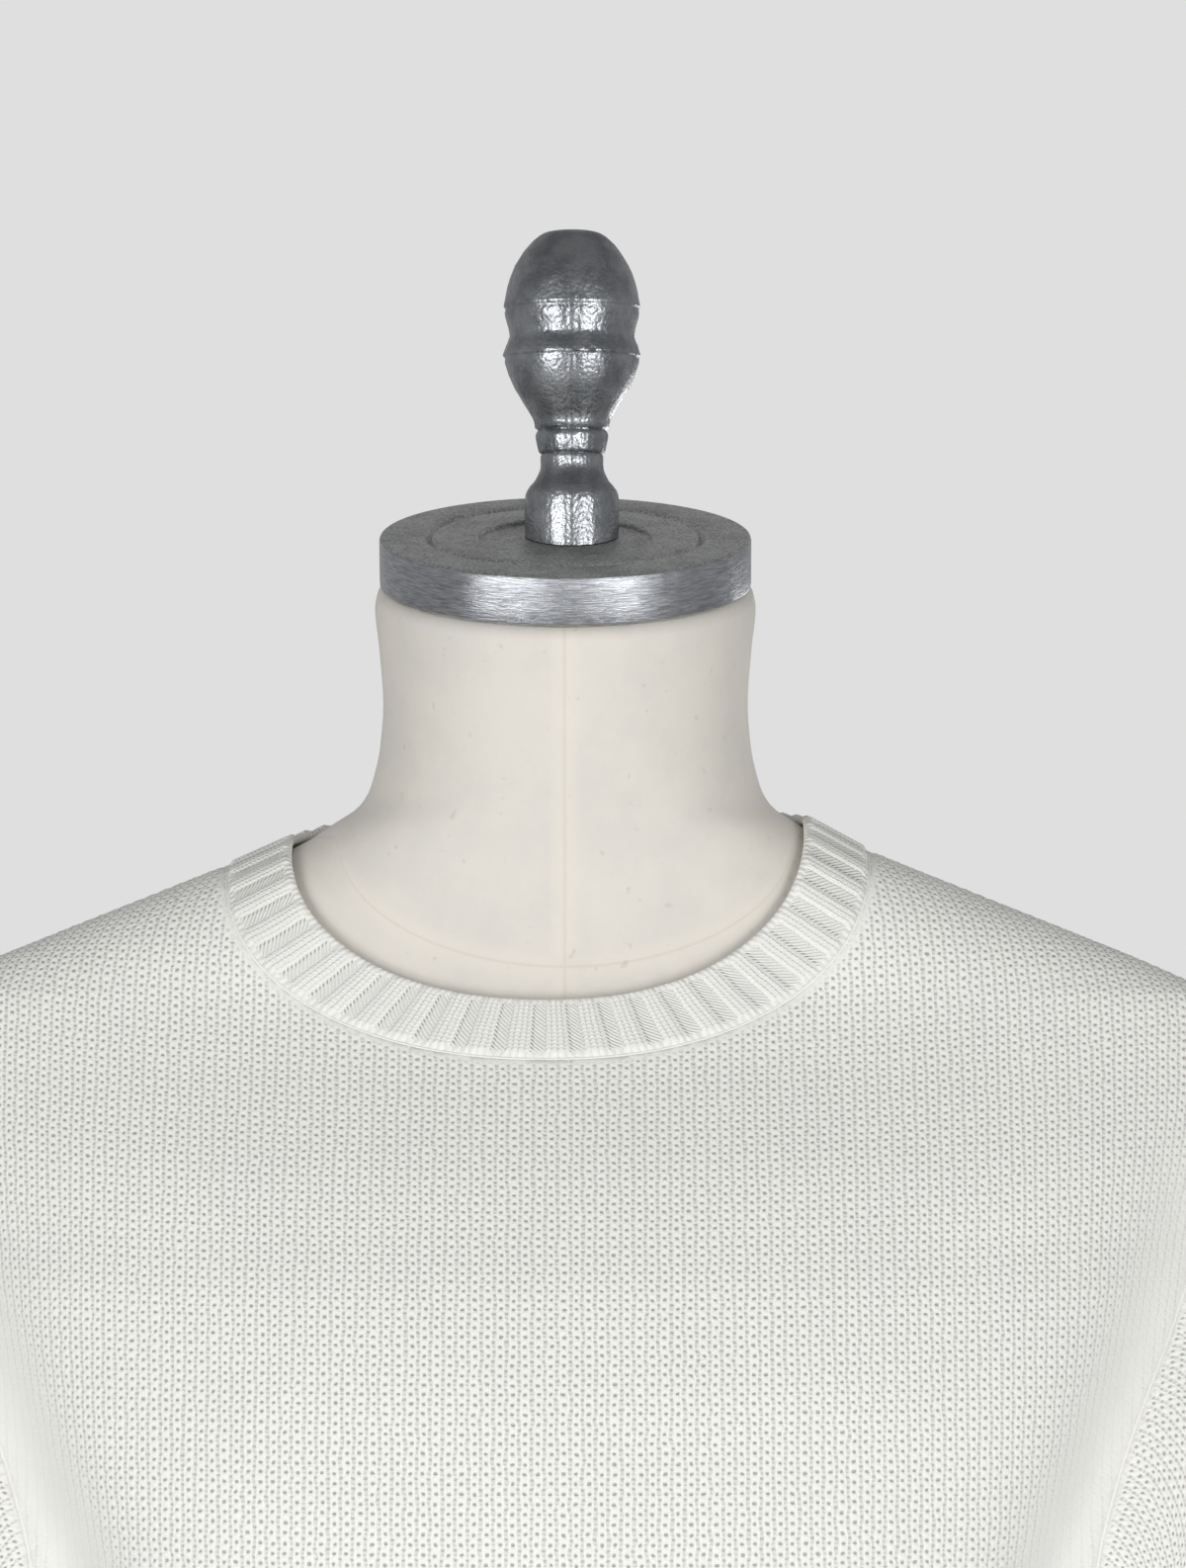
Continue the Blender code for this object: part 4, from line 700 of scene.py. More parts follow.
def arm_fold(x, level, cosine):
    """The long fold down from the shoulder point: how far the cloth dips back, in mm."""
    offset, depth = np.moveaxis(ARM_FOLD_TABLE.at(level), -1, 0)
    away = (np.abs(x) - offset) / ARM_FOLD_WIDTH
    inside = (level < ARM_FOLD[0][0]) & (level > ARM_FOLD[-1][0])
    return np.where(inside, depth * np.exp(-away * away) * np.maximum(cosine, 0.0) ** 0.5, 0.0)


def crease_depth(places, creases):
    """How far the cloth dips at flat places, from a short table of soft creases, in mm."""
    total = np.zeros(places.shape[:-1])
    for from_across, from_up, to_across, to_up, width, depth in creases:
        start = np.array((from_across, from_up))
        run = np.array((to_across - from_across, to_up - from_up))
        share = np.clip(((places - start) @ run) / (run @ run), 0.0, 1.0)
        away = np.linalg.norm(places - start - share[..., None] * run, axis=-1) / width
        total += depth * np.exp(-away * away) * np.sin(np.pi * np.clip(share, 0.08, 0.92))
    return total


sweater = Figure(SWEATER_SECTIONS, arm_fold)
ridge_levels = np.linspace(SHOULDER_POINT, SWEATER_SECTIONS[0][0], 400)
ridge_widths = sweater.table.at(ridge_levels)[:, 0]


def neck_loop(turn, side, half_width, front_level, back_level):
    """Angles and levels of a neckline loop: turn 0 is the front, 90 the shoulder, 180 the back."""
    edge_x = NECK_SHIFT + side * half_width
    side_level = np.interp(-np.abs(edge_x), -ridge_widths, ridge_levels)
    power = 2.0 / NECK_SQUARENESS
    sine, cosine = np.sin(np.radians(turn)), np.cos(np.radians(turn))
    x = NECK_SHIFT + side * half_width * np.abs(sine) ** power
    front_way = side_level - (side_level - front_level) * np.abs(cosine) ** power
    back_way = side_level + (back_level - side_level) * cosine ** 2
    level = np.where(turn <= 90.0, front_way, back_way)
    values = sweater.table.at(level)
    share = np.clip(np.abs(x) / values[..., 0], 0.0, 1.0)
    angle = np.degrees(np.arcsin(np.clip(share ** (values[..., 4] / 2.0), 0.0, 1.0)))
    angle = np.where(turn > 90.0, 180.0 - angle, angle)
    return np.where(x < 0.0, -angle, angle), level


def even_steps(points, step):
    """Which fractions of a run of points to take, so that they lie about one step apart."""
    lengths = np.concatenate(([0.0], np.cumsum(np.linalg.norm(np.diff(points, axis=0), axis=1))))
    count = max(int(round(lengths[-1] / step)), 2)
    return np.interp(np.linspace(0.0, lengths[-1], count + 1), lengths, np.arange(len(points)))


def pick(values, fractions):
    """Read a run of values at fractional places."""
    values = np.asarray(values, float)
    low = np.clip(np.floor(fractions).astype(int), 0, len(values) - 2)
    part = np.asarray(fractions) - low
    part = part.reshape(part.shape + (1,) * (values.ndim - 1))
    return values[low] * (1.0 - part) + values[low + 1] * part


def resample(angles, levels):
    """The same run on the sweater's surface, with its places one rim step apart."""
    fractions = even_steps(sweater.point(angles, levels) / MM, RIM_STEP)
    return pick(angles, fractions), pick(levels, fractions)


def armhole_run(back, side):
    """The armhole from the side seam up to the shoulder point, as angles and levels."""
    table = SmoothTable(ARMHOLE_BACK if back else ARMHOLE_FRONT)
    levels = np.linspace(ARMHOLE_SIDE, SHOULDER_POINT, ARMHOLE_SAMPLES)
    angles = table.at(levels)[:, 0]
    return resample(side * (180.0 - angles if back else angles), levels)


def panel_outline(back):
    """The panel's outline, as runs of (name, side, angles, levels), anticlockwise from outside."""
    turn = -1.0 if back else 1.0
    across = np.linspace(-90.0, 90.0, HEM_SAMPLES)
    hem_angles = across + (180.0 if back else 0.0)
    runs = [("hem", 0, *resample(hem_angles, np.full(HEM_SAMPLES, HEM_TOP)))]
    seam_level = SEAM_BACK if back else SEAM_FRONT
    for side in (turn, -turn):
        neck_x = NECK_SHIFT + side * SEAM_HALF_WIDTH
        neck_point = float(np.interp(-abs(neck_x), -ridge_widths, ridge_levels))
        side_run = resample(
            np.full(SIDE_SAMPLES, side * 90.0), np.linspace(HEM_TOP, ARMHOLE_SIDE, SIDE_SAMPLES))
        arm_run = armhole_run(back, side)
        shoulder_run = resample(
            np.full(SHOULDER_SAMPLES, side * 90.0),
            np.linspace(SHOULDER_POINT, neck_point, SHOULDER_SAMPLES))
        turns = np.linspace(90.0, 180.0 if back else 0.0, SIDE_SAMPLES)
        neck_run = resample(*neck_loop(turns, side, SEAM_HALF_WIDTH, SEAM_FRONT, seam_level))
        found = [("side", side, *side_run), ("armhole", side, *arm_run),
                 ("shoulder", side, *shoulder_run), ("neck", side, *neck_run)]
        if side == turn:
            runs += found
        else:
            runs += [(name, s, angles[::-1], levels[::-1]) for name, s, angles, levels in found[::-1]]
    return runs


def panel_grid(back):
    """The panel's surface: places by wale (from the centre line) and level, and courses climbed."""
    levels = np.arange(HEM_TOP, 6.0, 1.0)
    arcs = sweater.arcs(levels, back)
    reach = int(arcs.max() / WALE) + 2
    walked = np.arange(reach + 1) * WALE
    angles = np.array([np.interp(walked, row, Figure.ARC_ANGLES) for row in arcs])
    angles = np.hstack((-angles[:, :0:-1], angles))
    if back:
        angles = 180.0 + angles
    places = sweater.point(angles, levels[:, None])
    climbed = np.vstack((
        np.zeros((1, places.shape[1])),
        np.cumsum(np.linalg.norm(np.diff(places, axis=0), axis=2), axis=0),
    )) / (COURSE * MM)
    columns = np.arange(-reach, reach + 1) * WALE
    flat_places = np.stack(np.broadcast_arrays(columns, levels[:, None]), axis=-1)
    dips = crease_depth(flat_places, BACK_CREASES if back else FRONT_CREASES)
    flatter = np.zeros_like(dips)
    if not back:
        flatter = arm_fold(places[..., 0] / MM, levels[:, None], np.cos(np.radians(angles))) / FOLD_CALM
    return {"reach": reach, "levels": levels, "arcs": arcs, "places": places, "climbed": climbed,
            "dips": dips, "calm": np.clip(flatter, 0.0, 1.0)}


def surface_normals(places):
    """Normals of a grid of places, rows upwards and columns to the right as seen from outside."""
    right = np.gradient(places, axis=1)
    up = np.gradient(places, axis=0)
    return unit(np.cross(right, up))


def read_grid(values, rows, columns):
    """Read a grid between its rows and columns."""
    low_row = np.clip(np.floor(rows).astype(int), 0, values.shape[0] - 2)
    low_column = np.clip(np.floor(columns).astype(int), 0, values.shape[1] - 2)
    up, right = rows - low_row, columns - low_column
    if values.ndim > 2:
        up, right = up[:, None], right[:, None]
    return (
        values[low_row, low_column] * (1 - up) * (1 - right)
        + values[low_row + 1, low_column] * up * (1 - right)
        + values[low_row, low_column + 1] * (1 - up) * right
        + values[low_row + 1, low_column + 1] * up * right
    )


def inside_outline(outline, points):
    """Which points lie within a closed outline, by counting the edges that a ray crosses."""
    starts, ends = outline, np.roll(outline, -1, axis=0)
    inside = np.zeros(len(points), bool)
    run = ends[:, 0] - starts[:, 0]
    slope = (ends[:, 1] - starts[:, 1]) / np.where(run == 0.0, 1.0, run)
    for low in range(0, len(points), POINT_BLOCK):
        block = points[low:low + POINT_BLOCK]
        crosses = (starts[None, :, 0] > block[:, None, 0]) != (ends[None, :, 0] > block[:, None, 0])
        height = starts[None, :, 1] + (block[:, None, 0] - starts[None, :, 0]) * slope[None, :]
        inside[low:low + POINT_BLOCK] = (crosses & (height > block[:, None, 1])).sum(axis=1) % 2 == 1
    return inside


def fill_triangles(flat, edges, outline, keep):
    """Triangles over flat points that keep the edges; keep says which centroids count."""
    made = delaunay_2d_cdt([Vector(p) for p in flat], edges, [], 0, 1e-7)
    origin = [source[0] if source else -1 for source in made[3]]
    triangles = np.array([[origin[corner] for corner in face] for face in made[2]])
    centroids = flat[triangles].mean(axis=1)
    triangles = triangles[inside_outline(outline, centroids) & keep(centroids)]
    corners = flat[triangles]
    first, second = corners[:, 1] - corners[:, 0], corners[:, 2] - corners[:, 0]
    turned_over = first[:, 0] * second[:, 1] - first[:, 1] * second[:, 0] < 0.0
    triangles[turned_over] = triangles[turned_over][:, ::-1]
    return triangles


def knit_wall(grid, outline, rim_outer, rim_inner, rimmed, quiet):
    """A closed knitted wall with a point on every grain and hole.

    grid holds the surface; outline is flat, in wales and courses; rim_outer and rim_inner are
    the edge's places; rimmed marks the outline's edges that get a rim; quiet marks the outline's
    points beside which the stitch dies out slowly.
    """
    reach, places, climbed, dips = grid["reach"], grid["places"], grid["climbed"], grid["dips"]
    rows = np.arange(climbed.shape[0])
    tallest = int(climbed.max()) + 1
    lattice = []
    for column in range(-reach, reach + 1):
        column_climbed = climbed[:, column + reach]
        courses = np.arange(1, min(int(column_climbed[-1]), tallest))
        lattice.append(np.column_stack((
            np.full(len(courses), column), courses, np.interp(courses, column_climbed, rows))))
    lattice = np.vstack(lattice)
    lattice = lattice[inside_outline(outline, lattice[:, :2])]
    squash = COURSE / WALE
    near_edge, near_quiet = KDTree(len(outline)), KDTree(max(int(quiet.sum()), 1))
    for spot, (wale, course) in enumerate(outline):
        near_edge.insert((wale, course * squash, 0.0), spot)
    for spot, (wale, course) in enumerate(outline[quiet] if quiet.any() else outline[:1] + 1e4):
        near_quiet.insert((wale, course * squash, 0.0), spot)
    near_edge.balance()
    near_quiet.balance()
    edge_away = np.array([near_edge.find((w, c * squash, 0.0))[2] for w, c in lattice[:, :2]])
    quiet_away = np.array([near_quiet.find((w, c * squash, 0.0))[2] for w, c in lattice[:, :2]])
    clear = edge_away > EDGE_CLEAR
    lattice, edge_away, quiet_away = lattice[clear], edge_away[clear] * WALE, quiet_away[clear] * WALE

    wales, courses = lattice[:, 0].astype(int), lattice[:, 1].astype(int)
    index = np.full((2 * reach + 2, tallest + 2), -1)
    index[wales + reach, courses] = np.arange(len(lattice))
    cell = np.stack((index[:-1, :-1], index[1:, :-1], index[1:, 1:], index[:-1, 1:]), axis=-1)
    whole = (cell >= 0).all(axis=2)
    quads = cell[whole]
    cell_wales, cell_courses = np.nonzero(whole)
    high_first = (cell_wales - reach + cell_courses) % 2 == 0
    one = np.where(high_first[:, None], quads[:, (0, 1, 2)], quads[:, (0, 1, 3)])
    two = np.where(high_first[:, None], quads[:, (0, 2, 3)], quads[:, (1, 2, 3)])
    outer_faces = [one, two]

    edge_sides = {}
    for first, second in ((0, 1), (1, 2), (2, 3), (3, 0)):
        for start, end in zip(quads[:, first].tolist(), quads[:, second].tolist()):
            edge_sides[start, end] = True
    border = [pair for pair in edge_sides if (pair[1], pair[0]) not in edge_sides]
    used = np.zeros(len(lattice), bool)
    used[quads.ravel()] = True
    on_border = np.zeros(len(lattice), bool)
    on_border[[corner for pair in border for corner in pair]] = True
    band = np.nonzero(on_border | ~used)[0]
    in_band = {int(point): len(outline) + spot for spot, point in enumerate(band)}
    loop_edges = [(spot, (spot + 1) % len(outline)) for spot in range(len(outline))]
    band_edges = [(in_band[a], in_band[b]) for a, b in border]

    def outside_cells(centroids):
        return ~whole[np.floor(centroids[:, 0]).astype(int) + reach, np.floor(centroids[:, 1]).astype(int)]

    flat = np.vstack((outline, lattice[band, :2]))
    strip = fill_triangles(flat, loop_edges + band_edges, outline, outside_cells)
    strip = np.where(strip < len(outline), strip + len(lattice), band[np.maximum(strip - len(outline), 0)])
    outer_faces.append(strip)

    spots = lattice[:, 2], lattice[:, 0] + reach
    base = read_grid(places, *spots)
    bumped = places - surface_normals(places) * (dips * MM)[..., None]
    normals = unit(read_grid(surface_normals(bumped), *spots))
    first_normals = unit(read_grid(surface_normals(places), *spots))
    dip = read_grid(dips, *spots) * (1.0 - np.exp(-((edge_away / CREASE_FADE) ** 2)))
    swell = SWELL_RISE * (1.0 - np.exp(-((edge_away / SWELL_REACH) ** 2)))
    lift = (swell - dip) * MM
    outer = base + first_normals * lift[:, None]
    stitch = np.clip((edge_away - STITCH_FROM) / STITCH_FADE, 0.0, 1.0)
    stitch *= np.clip((quiet_away - QUIET_FROM) / QUIET_FADE, 0.0, 1.0)
    stitch *= 1.0 - CALM_SHARE * read_grid(grid["calm"], *spots)

    sparse = (wales % INNER_WALES == 0) & (courses % INNER_COURSES == 0) & (edge_away > INNER_EDGE)
    inner_lattice = lattice[sparse]
    inner_points = (base - first_normals * ((CLOTH + dip) * MM)[:, None])[sparse]
    inner_flat = np.vstack((outline, inner_lattice[:, :2]))
    inner_faces = fill_triangles(
        inner_flat, loop_edges, outline, lambda centroids: np.ones(len(centroids), bool))
    first_inner = len(lattice) + len(outline)
    points = np.vstack((outer, rim_outer, rim_inner, inner_points))
    inner_faces = inner_faces[:, ::-1] + first_inner
    rim = []
    for spot in np.nonzero(rimmed)[0]:
        right = (spot + 1) % len(outline)
        a, b = len(lattice) + spot, len(lattice) + right
        rim += [(b, a, a + len(outline)), (b, a + len(outline), b + len(outline))]
    faces = np.vstack(outer_faces + [inner_faces] + ([np.array(rim)] if rim else []))
    count = len(points)
    values = np.zeros((count, 3))
    values[:len(lattice), :2] = lattice[:, :2]
    values[:len(lattice), 2] = stitch
    values[len(lattice):first_inner, :2] = outline
    values[first_inner:first_inner + len(outline), :2] = outline
    values[first_inner + len(outline):, :2] = inner_lattice[:, :2]
    facing = np.zeros((count, 3))
    facing[:len(lattice)] = normals
    return {"points": points, "faces": faces, "values": values, "facing": facing,
            "first_rim": len(lattice), "outline": len(outline)}


def geometry_tree(name, inputs):
    """An empty geometry node tree: a geometry in and out, and the named sizes."""
    tree = bpy.data.node_groups.new(name, "GeometryNodeTree")
    tree.interface.new_socket("Geometry", in_out="INPUT", socket_type="NodeSocketGeometry")
    for label, kind in inputs:
        tree.interface.new_socket(label, in_out="INPUT", socket_type=kind)
    tree.interface.new_socket("Geometry", in_out="OUTPUT", socket_type="NodeSocketGeometry")
    return tree, tree.nodes.new("NodeGroupInput"), tree.nodes.new("NodeGroupOutput")


def grow(piece, tree, sizes):
    """Run a node tree on a piece and keep what it makes as the piece's plain mesh."""
    modifier = piece.modifiers.new(tree.name, "NODES")
    modifier.node_group = tree
    for socket in tree.interface.items_tree:
        if socket.in_out == "INPUT" and socket.name in sizes:
            modifier[socket.identifier] = sizes[socket.name]
    depsgraph = bpy.context.evaluated_depsgraph_get()
    mesh = bpy.data.meshes.new_from_object(
        piece.evaluated_get(depsgraph), preserve_all_data_layers=True, depsgraph=depsgraph)
    piece.modifiers.clear()
    piece.data = mesh


def stored_vector(tree, name):
    """A vector stored on the mesh's points."""
    return add_node(
        tree, "GeometryNodeInputNamedAttribute", {"Name": name}, data_type="FLOAT_VECTOR").outputs[0]


def stitch_relief_tree():
    """Moves every point of the knit out at a grain and in at a hole, along the stored facing."""
    tree, start, end = geometry_tree("stitch_relief", [
        ("Depth", "NodeSocketFloat"), ("Groove", "NodeSocketFloat"), ("Yarn", "NodeSocketMaterial")])
    stitch = stored_vector(tree, "stitch")
    facing = stored_vector(tree, "facing")
    parts = add_node(tree, "ShaderNodeSeparateXYZ", {"Vector": stitch})
    wale = maths(tree, "COSINE", maths(tree, "MULTIPLY", parts.outputs["X"], math.pi))
    course = maths(tree, "COSINE", maths(tree, "MULTIPLY", parts.outputs["Y"], math.pi))
    open_column = maths(tree, "MULTIPLY_ADD", wale, 0.34, 0.66)
    grain = maths(tree, "MULTIPLY", maths(tree, "MULTIPLY", wale, course), start.outputs["Depth"])
    grain = maths(tree, "MULTIPLY", grain, open_column)
    groove = maths(tree, "MULTIPLY", wale, start.outputs["Groove"])
    height = maths(tree, "MULTIPLY", maths(tree, "ADD", grain, groove), parts.outputs["Z"])
    offset = add_node(tree, "ShaderNodeVectorMath", {0: facing, "Scale": height}, operation="SCALE")
    moved = add_node(tree, "GeometryNodeSetPosition", {
        "Geometry": start.outputs["Geometry"], "Offset": offset.outputs[0]})
    whole = add_node(tree, "GeometryNodeRealizeInstances", {"Geometry": moved.outputs[0]})
    dyed = add_node(tree, "GeometryNodeSetMaterial", {
        "Geometry": whole.outputs[0], "Material": start.outputs["Yarn"]})
    tree.links.new(dyed.outputs[0], end.inputs[0])
    return tree


STITCH_RELIEF = stitch_relief_tree()


def yarn_group():
    """The yarn of all the knits: fine fibres, and soft patches where it is a little greyer."""
    group, start, end = group_sockets(
        "off_white_yarn", [("Vector", "NodeSocketVector", None)],
        [("Fibres", "NodeSocketFloat"), ("Patches", "NodeSocketFloat")])
    fibres = add_node(group, "ShaderNodeTexNoise", {
        "Vector": start.outputs["Vector"], "Scale": 1700.0, "Detail": 2.0, "Roughness": 0.6})
    patches = add_node(group, "ShaderNodeTexNoise", {
        "Vector": start.outputs["Vector"], "Scale": 26.0, "Detail": 3.0, "Roughness": 0.55})
    group.links.new(fibres.outputs[0], end.inputs["Fibres"])
    group.links.new(patches.outputs[0], end.inputs["Patches"])
    return group


YARN = yarn_group()
YARN_WHITE = (0.865, 0.858, 0.815)
YARN_GREY = (0.835, 0.832, 0.796)
# The colour of the painted shade in the holes, furrows and gaps of all the knits.
YARN_SHADE = (0.430, 0.430, 0.385)

knit, tree, shader = new_material("off_white_knit", Roughness=0.95, Sheen_Weight=0.12, Sheen_Roughness=0.6)
place = add_node(tree, "ShaderNodeTexCoord").outputs["Object"]
stitch = add_node(tree, "ShaderNodeAttribute", attribute_name="stitch").outputs["Vector"]
wobble = add_node(tree, "ShaderNodeTexNoise", {"Vector": place, "Scale": 190.0, "Detail": 1.0})
shifted = add_node(
    tree, "ShaderNodeVectorMath", {0: wobble.outputs["Color"], 1: (-0.5, -0.5, -0.5)}, operation="ADD")
shifted = add_node(
    tree, "ShaderNodeVectorMath", {0: shifted.outputs[0], 1: (0.9, 0.9, 0.0), 2: stitch},
    operation="MULTIPLY_ADD")
parts = add_node(tree, "ShaderNodeSeparateXYZ", {"Vector": shifted.outputs[0]})
strength = add_node(tree, "ShaderNodeSeparateXYZ", {"Vector": stitch}).outputs["Z"]
wale = maths(tree, "COSINE", maths(tree, "MULTIPLY", parts.outputs["X"], math.pi))
course = maths(tree, "COSINE", maths(tree, "MULTIPLY", parts.outputs["Y"], math.pi))
grain = maths(tree, "MULTIPLY", maths(tree, "MULTIPLY", wale, course), strength)
# Painted shade: the holes, and the dots in the furrows between the wales, are darkened towards YARN_SHADE.
hollow = between(tree, maths(tree, "MULTIPLY", grain, -1.0), 0.40, 0.95)
open_hole = maths(tree, "MULTIPLY", hollow, between(tree, wale, 0.30, 0.85))
closed_hole = maths(tree, "MULTIPLY", hollow, between(tree, maths(tree, "MULTIPLY", wale, -1.0), 0.45, 0.90))
furrow = maths(tree, "MULTIPLY", between(tree, maths(tree, "MULTIPLY", wale, -1.0), 0.50, 1.0), strength)
each_course = maths(tree, "COSINE", maths(tree, "MULTIPLY", parts.outputs["Y"], 2.0 * math.pi))
dot_shade = maths(tree, "MULTIPLY_ADD", between(tree, each_course, 0.0, 0.9), 0.30, 0.20)
dot_shade = maths(tree, "ADD", maths(tree, "MULTIPLY", furrow, dot_shade), maths(tree, "MULTIPLY", closed_hole, 0.16))
painted_shade = maths(tree, "MAXIMUM", maths(tree, "MULTIPLY", open_hole, 0.86), dot_shade)
# Painted highlight: the yarn legs and the raised grains are lightened towards near white.
legs = between(tree, maths(tree, "MULTIPLY", maths(tree, "ABSOLUTE", wale), -1.0), -0.85, -0.15)
painted_highlight = maths(tree, "MULTIPLY", maths(tree, "MULTIPLY", legs, strength), 0.50)
painted_highlight = maths(tree, "MAXIMUM", painted_highlight, maths(tree, "MULTIPLY", between(tree, grain, 0.25, 0.90), 0.50))
yarn = use_group(tree, YARN, {"Vector": place})
tone = mix_colour(tree, between(tree, yarn.outputs["Patches"], 0.35, 0.7), YARN_WHITE, YARN_GREY)
tone = mix_colour(tree, painted_highlight, tone, (0.95, 0.945, 0.905))
tone = mix_colour(tree, painted_shade, tone, YARN_SHADE)
tree.links.new(tone, shader.inputs["Base Color"])
height = maths(tree, "MULTIPLY_ADD", painted_shade, -1.7, maths(tree, "MULTIPLY", grain, 0.5))
height = maths(tree, "ADD", height, maths(tree, "MULTIPLY", yarn.outputs["Fibres"], 0.5))
bump = add_node(tree, "ShaderNodeBump", {"Height": height, "Strength": 0.8, "Distance": 0.0004})
tree.links.new(bump.outputs[0], shader.inputs["Normal"])


def knitted_piece(name, wall, weld=None):
    """Turn a knitted wall's arrays into its piece, with the stitch relief grown on it."""
    faces = wall["faces"]
    corner_values = wall["values"][faces.ravel()]
    if weld is not None:
        faces = weld[faces]
    used, faces = np.unique(faces, return_inverse=True)
    piece = make_piece(
        name, wall["points"][used], faces.reshape(-1, 3).tolist(), knit,
        corner_values={"stitch": corner_values}, point_values={"facing": wall["facing"][used]})
    grow(piece, STITCH_RELIEF, {"Depth": STITCH_DEPTH * MM, "Groove": WALE_GROOVE * MM, "Yarn": knit})
    piece.data.attributes.remove(piece.data.attributes["facing"])
    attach(piece, "root")
    return piece


def sleeve_start(turn, side, back):
    """Where the sleeve first heads as it leaves the armhole: turn 0 is the top, 180 the bottom."""
    forward = SLEEVE_TURN * np.sin(np.radians(turn)) * (1.0 if back else -1.0)
    fall = SLEEVE_FALL * (1.0 + np.cos(np.radians(turn))) / 2.0
    return unit(np.stack((np.full_like(turn, side), forward, fall), axis=-1))


def cut_size(outline):
    """Width and length, and the area, of a flat outline in wales and courses, in metres."""
    flat = outline * np.array((WALE, COURSE)) * MM
    after = np.roll(flat, -1, axis=0)
    area = abs((flat[:, 0] * after[:, 1] - flat[:, 1] * after[:, 0]).sum()) / 2.0
    return tuple(np.ptp(flat, axis=0).tolist()), float(area)


def build_panel(back):
    """One panel's wall, its cut, and the places of its armholes for the sleeves."""
    grid = panel_grid(back)
    turn = -1.0 if back else 1.0
    flat, outer, inner, quiet, edges = [], [], [], [], {}
    levels = grid["levels"]
    for name, side, angles, run_levels in panel_outline(back):
        places = sweater.point(angles, run_levels)
        facing = sweater.normal(angles, run_levels)
        half_angle = np.abs(180.0 - np.abs(angles)) if back else np.abs(angles)
        rows = run_levels - HEM_TOP
        low = np.clip(np.floor(rows).astype(int), 0, len(levels) - 2)
        arc_low, arc_high = (
            np.array([np.interp(a, Figure.ARC_ANGLES, grid["arcs"][r + up]) for a, r in zip(half_angle, low)])
            for up in (0, 1)
        )
        walked = arc_low + (arc_high - arc_low) * (rows - low)
        sign = np.sign(np.where(np.abs(places[:, 0]) < 1e-9, 1.0, places[:, 0])) * turn
        wales = sign * walked / WALE
        courses = read_grid(grid["climbed"], rows, wales + grid["reach"])
        inside = -facing * CLOTH * MM
        outside = places.copy()
        if name == "armhole":
            lengths = np.concatenate(([0.0], np.cumsum(np.linalg.norm(np.diff(places, axis=0), axis=1))))
            down = 1.0 - lengths / lengths[-1] if run_levels[0] < run_levels[-1] else lengths / lengths[-1]
            turns = 180.0 * down
            tangent = unit(np.gradient(places, axis=0))
            arriving = unit(np.cross(tangent, facing))
            outwards = np.sign((arriving[:, 0] * side).sum())
            arriving = arriving * outwards
            leaving = sleeve_start(turns, side, back)
            middle = unit(arriving + leaving)
            tilted = unit(facing - middle * (facing * middle).sum(axis=1)[:, None])
            spread = 1.0 / np.maximum(np.sqrt((1.0 + (arriving * leaving).sum(axis=1)) / 2.0), 0.8)
            inside = -tilted * (CLOTH * MM * spread)[:, None]
        on_seam = np.isclose(np.abs(angles) % 180.0, 90.0)
        inside[on_seam] = unit(inside[on_seam] * np.array((1.0, 0.0, 1.0))) * CLOTH * MM
        outside[on_seam, 1] += SEAM_GAP * MM / 2.0 * (1.0 if back else -1.0)
        if name == "armhole":
            order = slice(None, None, -1) if run_levels[0] < run_levels[-1] else slice(None)
            edges["armhole", side] = {
                "outer": places[order], "inner": (places + inside)[order], "across": middle[order],
                "turns": turns[order]}
        flat.append(np.column_stack((wales, courses))[:-1])
        outer.append(outside[:-1])
        inner.append((outside + inside)[:-1])
        quiet.append(np.full(len(wales) - 1, name == "neck"))
    flat, outer, inner, quiet = (np.concatenate(part) for part in (flat, outer, inner, quiet))
    wall = knit_wall(grid, flat, outer, inner, np.ones(len(flat), bool), quiet)
    return wall, cut_size(flat), edges


armholes = {}
for word, back in (("front", False), ("back", True)):
    wall, (cut, cut_area), armholes[word] = build_panel(back)
    panel = knitted_piece("knit_" + word, wall)
    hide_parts("body_" + word)


# The sleeves: one knitted panel each, closed along the underarm, with its head set into the
# armhole. They hang empty beside the body, so they carry soft folds of their own.
SLEEVE_RINGS = (
    # rise, middle_x, middle_y, half_across, half_deep
    (-335.0, 239.5, -4.0, 43.0, 69.0),
    (-380.0, 239.5, -6.0, 41.5, 66.5),
    (-430.0, 239.0, -9.0, 39.5, 62.0),
    (-480.0, 238.0, -12.0, 37.5, 57.5),
    (-530.0, 236.5, -13.0, 35.5, 53.5),
    (-580.0, 235.0, -13.0, 33.5, 49.5),
    (-615.0, 234.0, -12.5, 32.0, 46.5),
    (-637.0, 233.5, -12.0, 28.5, 40.5),
)
HEAD_STEPS = 120
TUBE_STEP = 2.0
SLEEVE_CREASES = (
    # from round (to the front of the top line, mm), from up, to round, to up, width, depth
    (60.0, 300.0, 96.0, 190.0, 13.0, 2.6),
    (118.0, 330.0, 92.0, 240.0, 12.0, 2.2),
    (-70.0, 310.0, -104.0, 200.0, 14.0, 2.8),
    (-24.0, 250.0, -6.0, 130.0, 15.0, 2.4),
    (38.0, 170.0, 22.0, 60.0, 13.0, 2.6),
    (-52.0, 150.0, -34.0, 40.0, 12.0, 2.2),
    (84.0, 120.0, 96.0, 30.0, 11.0, 2.0),
    (-96.0, 90.0, -88.0, 16.0, 10.0, 1.8),
    (4.0, 60.0, 12.0, 6.0, 12.0, 2.2),
    (20.0, 400.0, 44.0, 330.0, 18.0, 1.6),
    (-30.0, 410.0, -60.0, 340.0, 18.0, 1.6),
)


def oval(values, turns, side):
    """A ring of a sleeve or a cuff: turn 0 is its outer side, 90 its front."""
    middle_x, middle_y, half_across, half_deep, rise = values
    x = side * (middle_x + half_across * np.cos(np.radians(turns)))
    y = middle_y - half_deep * np.sin(np.radians(turns))
    return np.column_stack((x, y, np.full(len(turns), rise + NECK_LEVEL / MM))) * MM


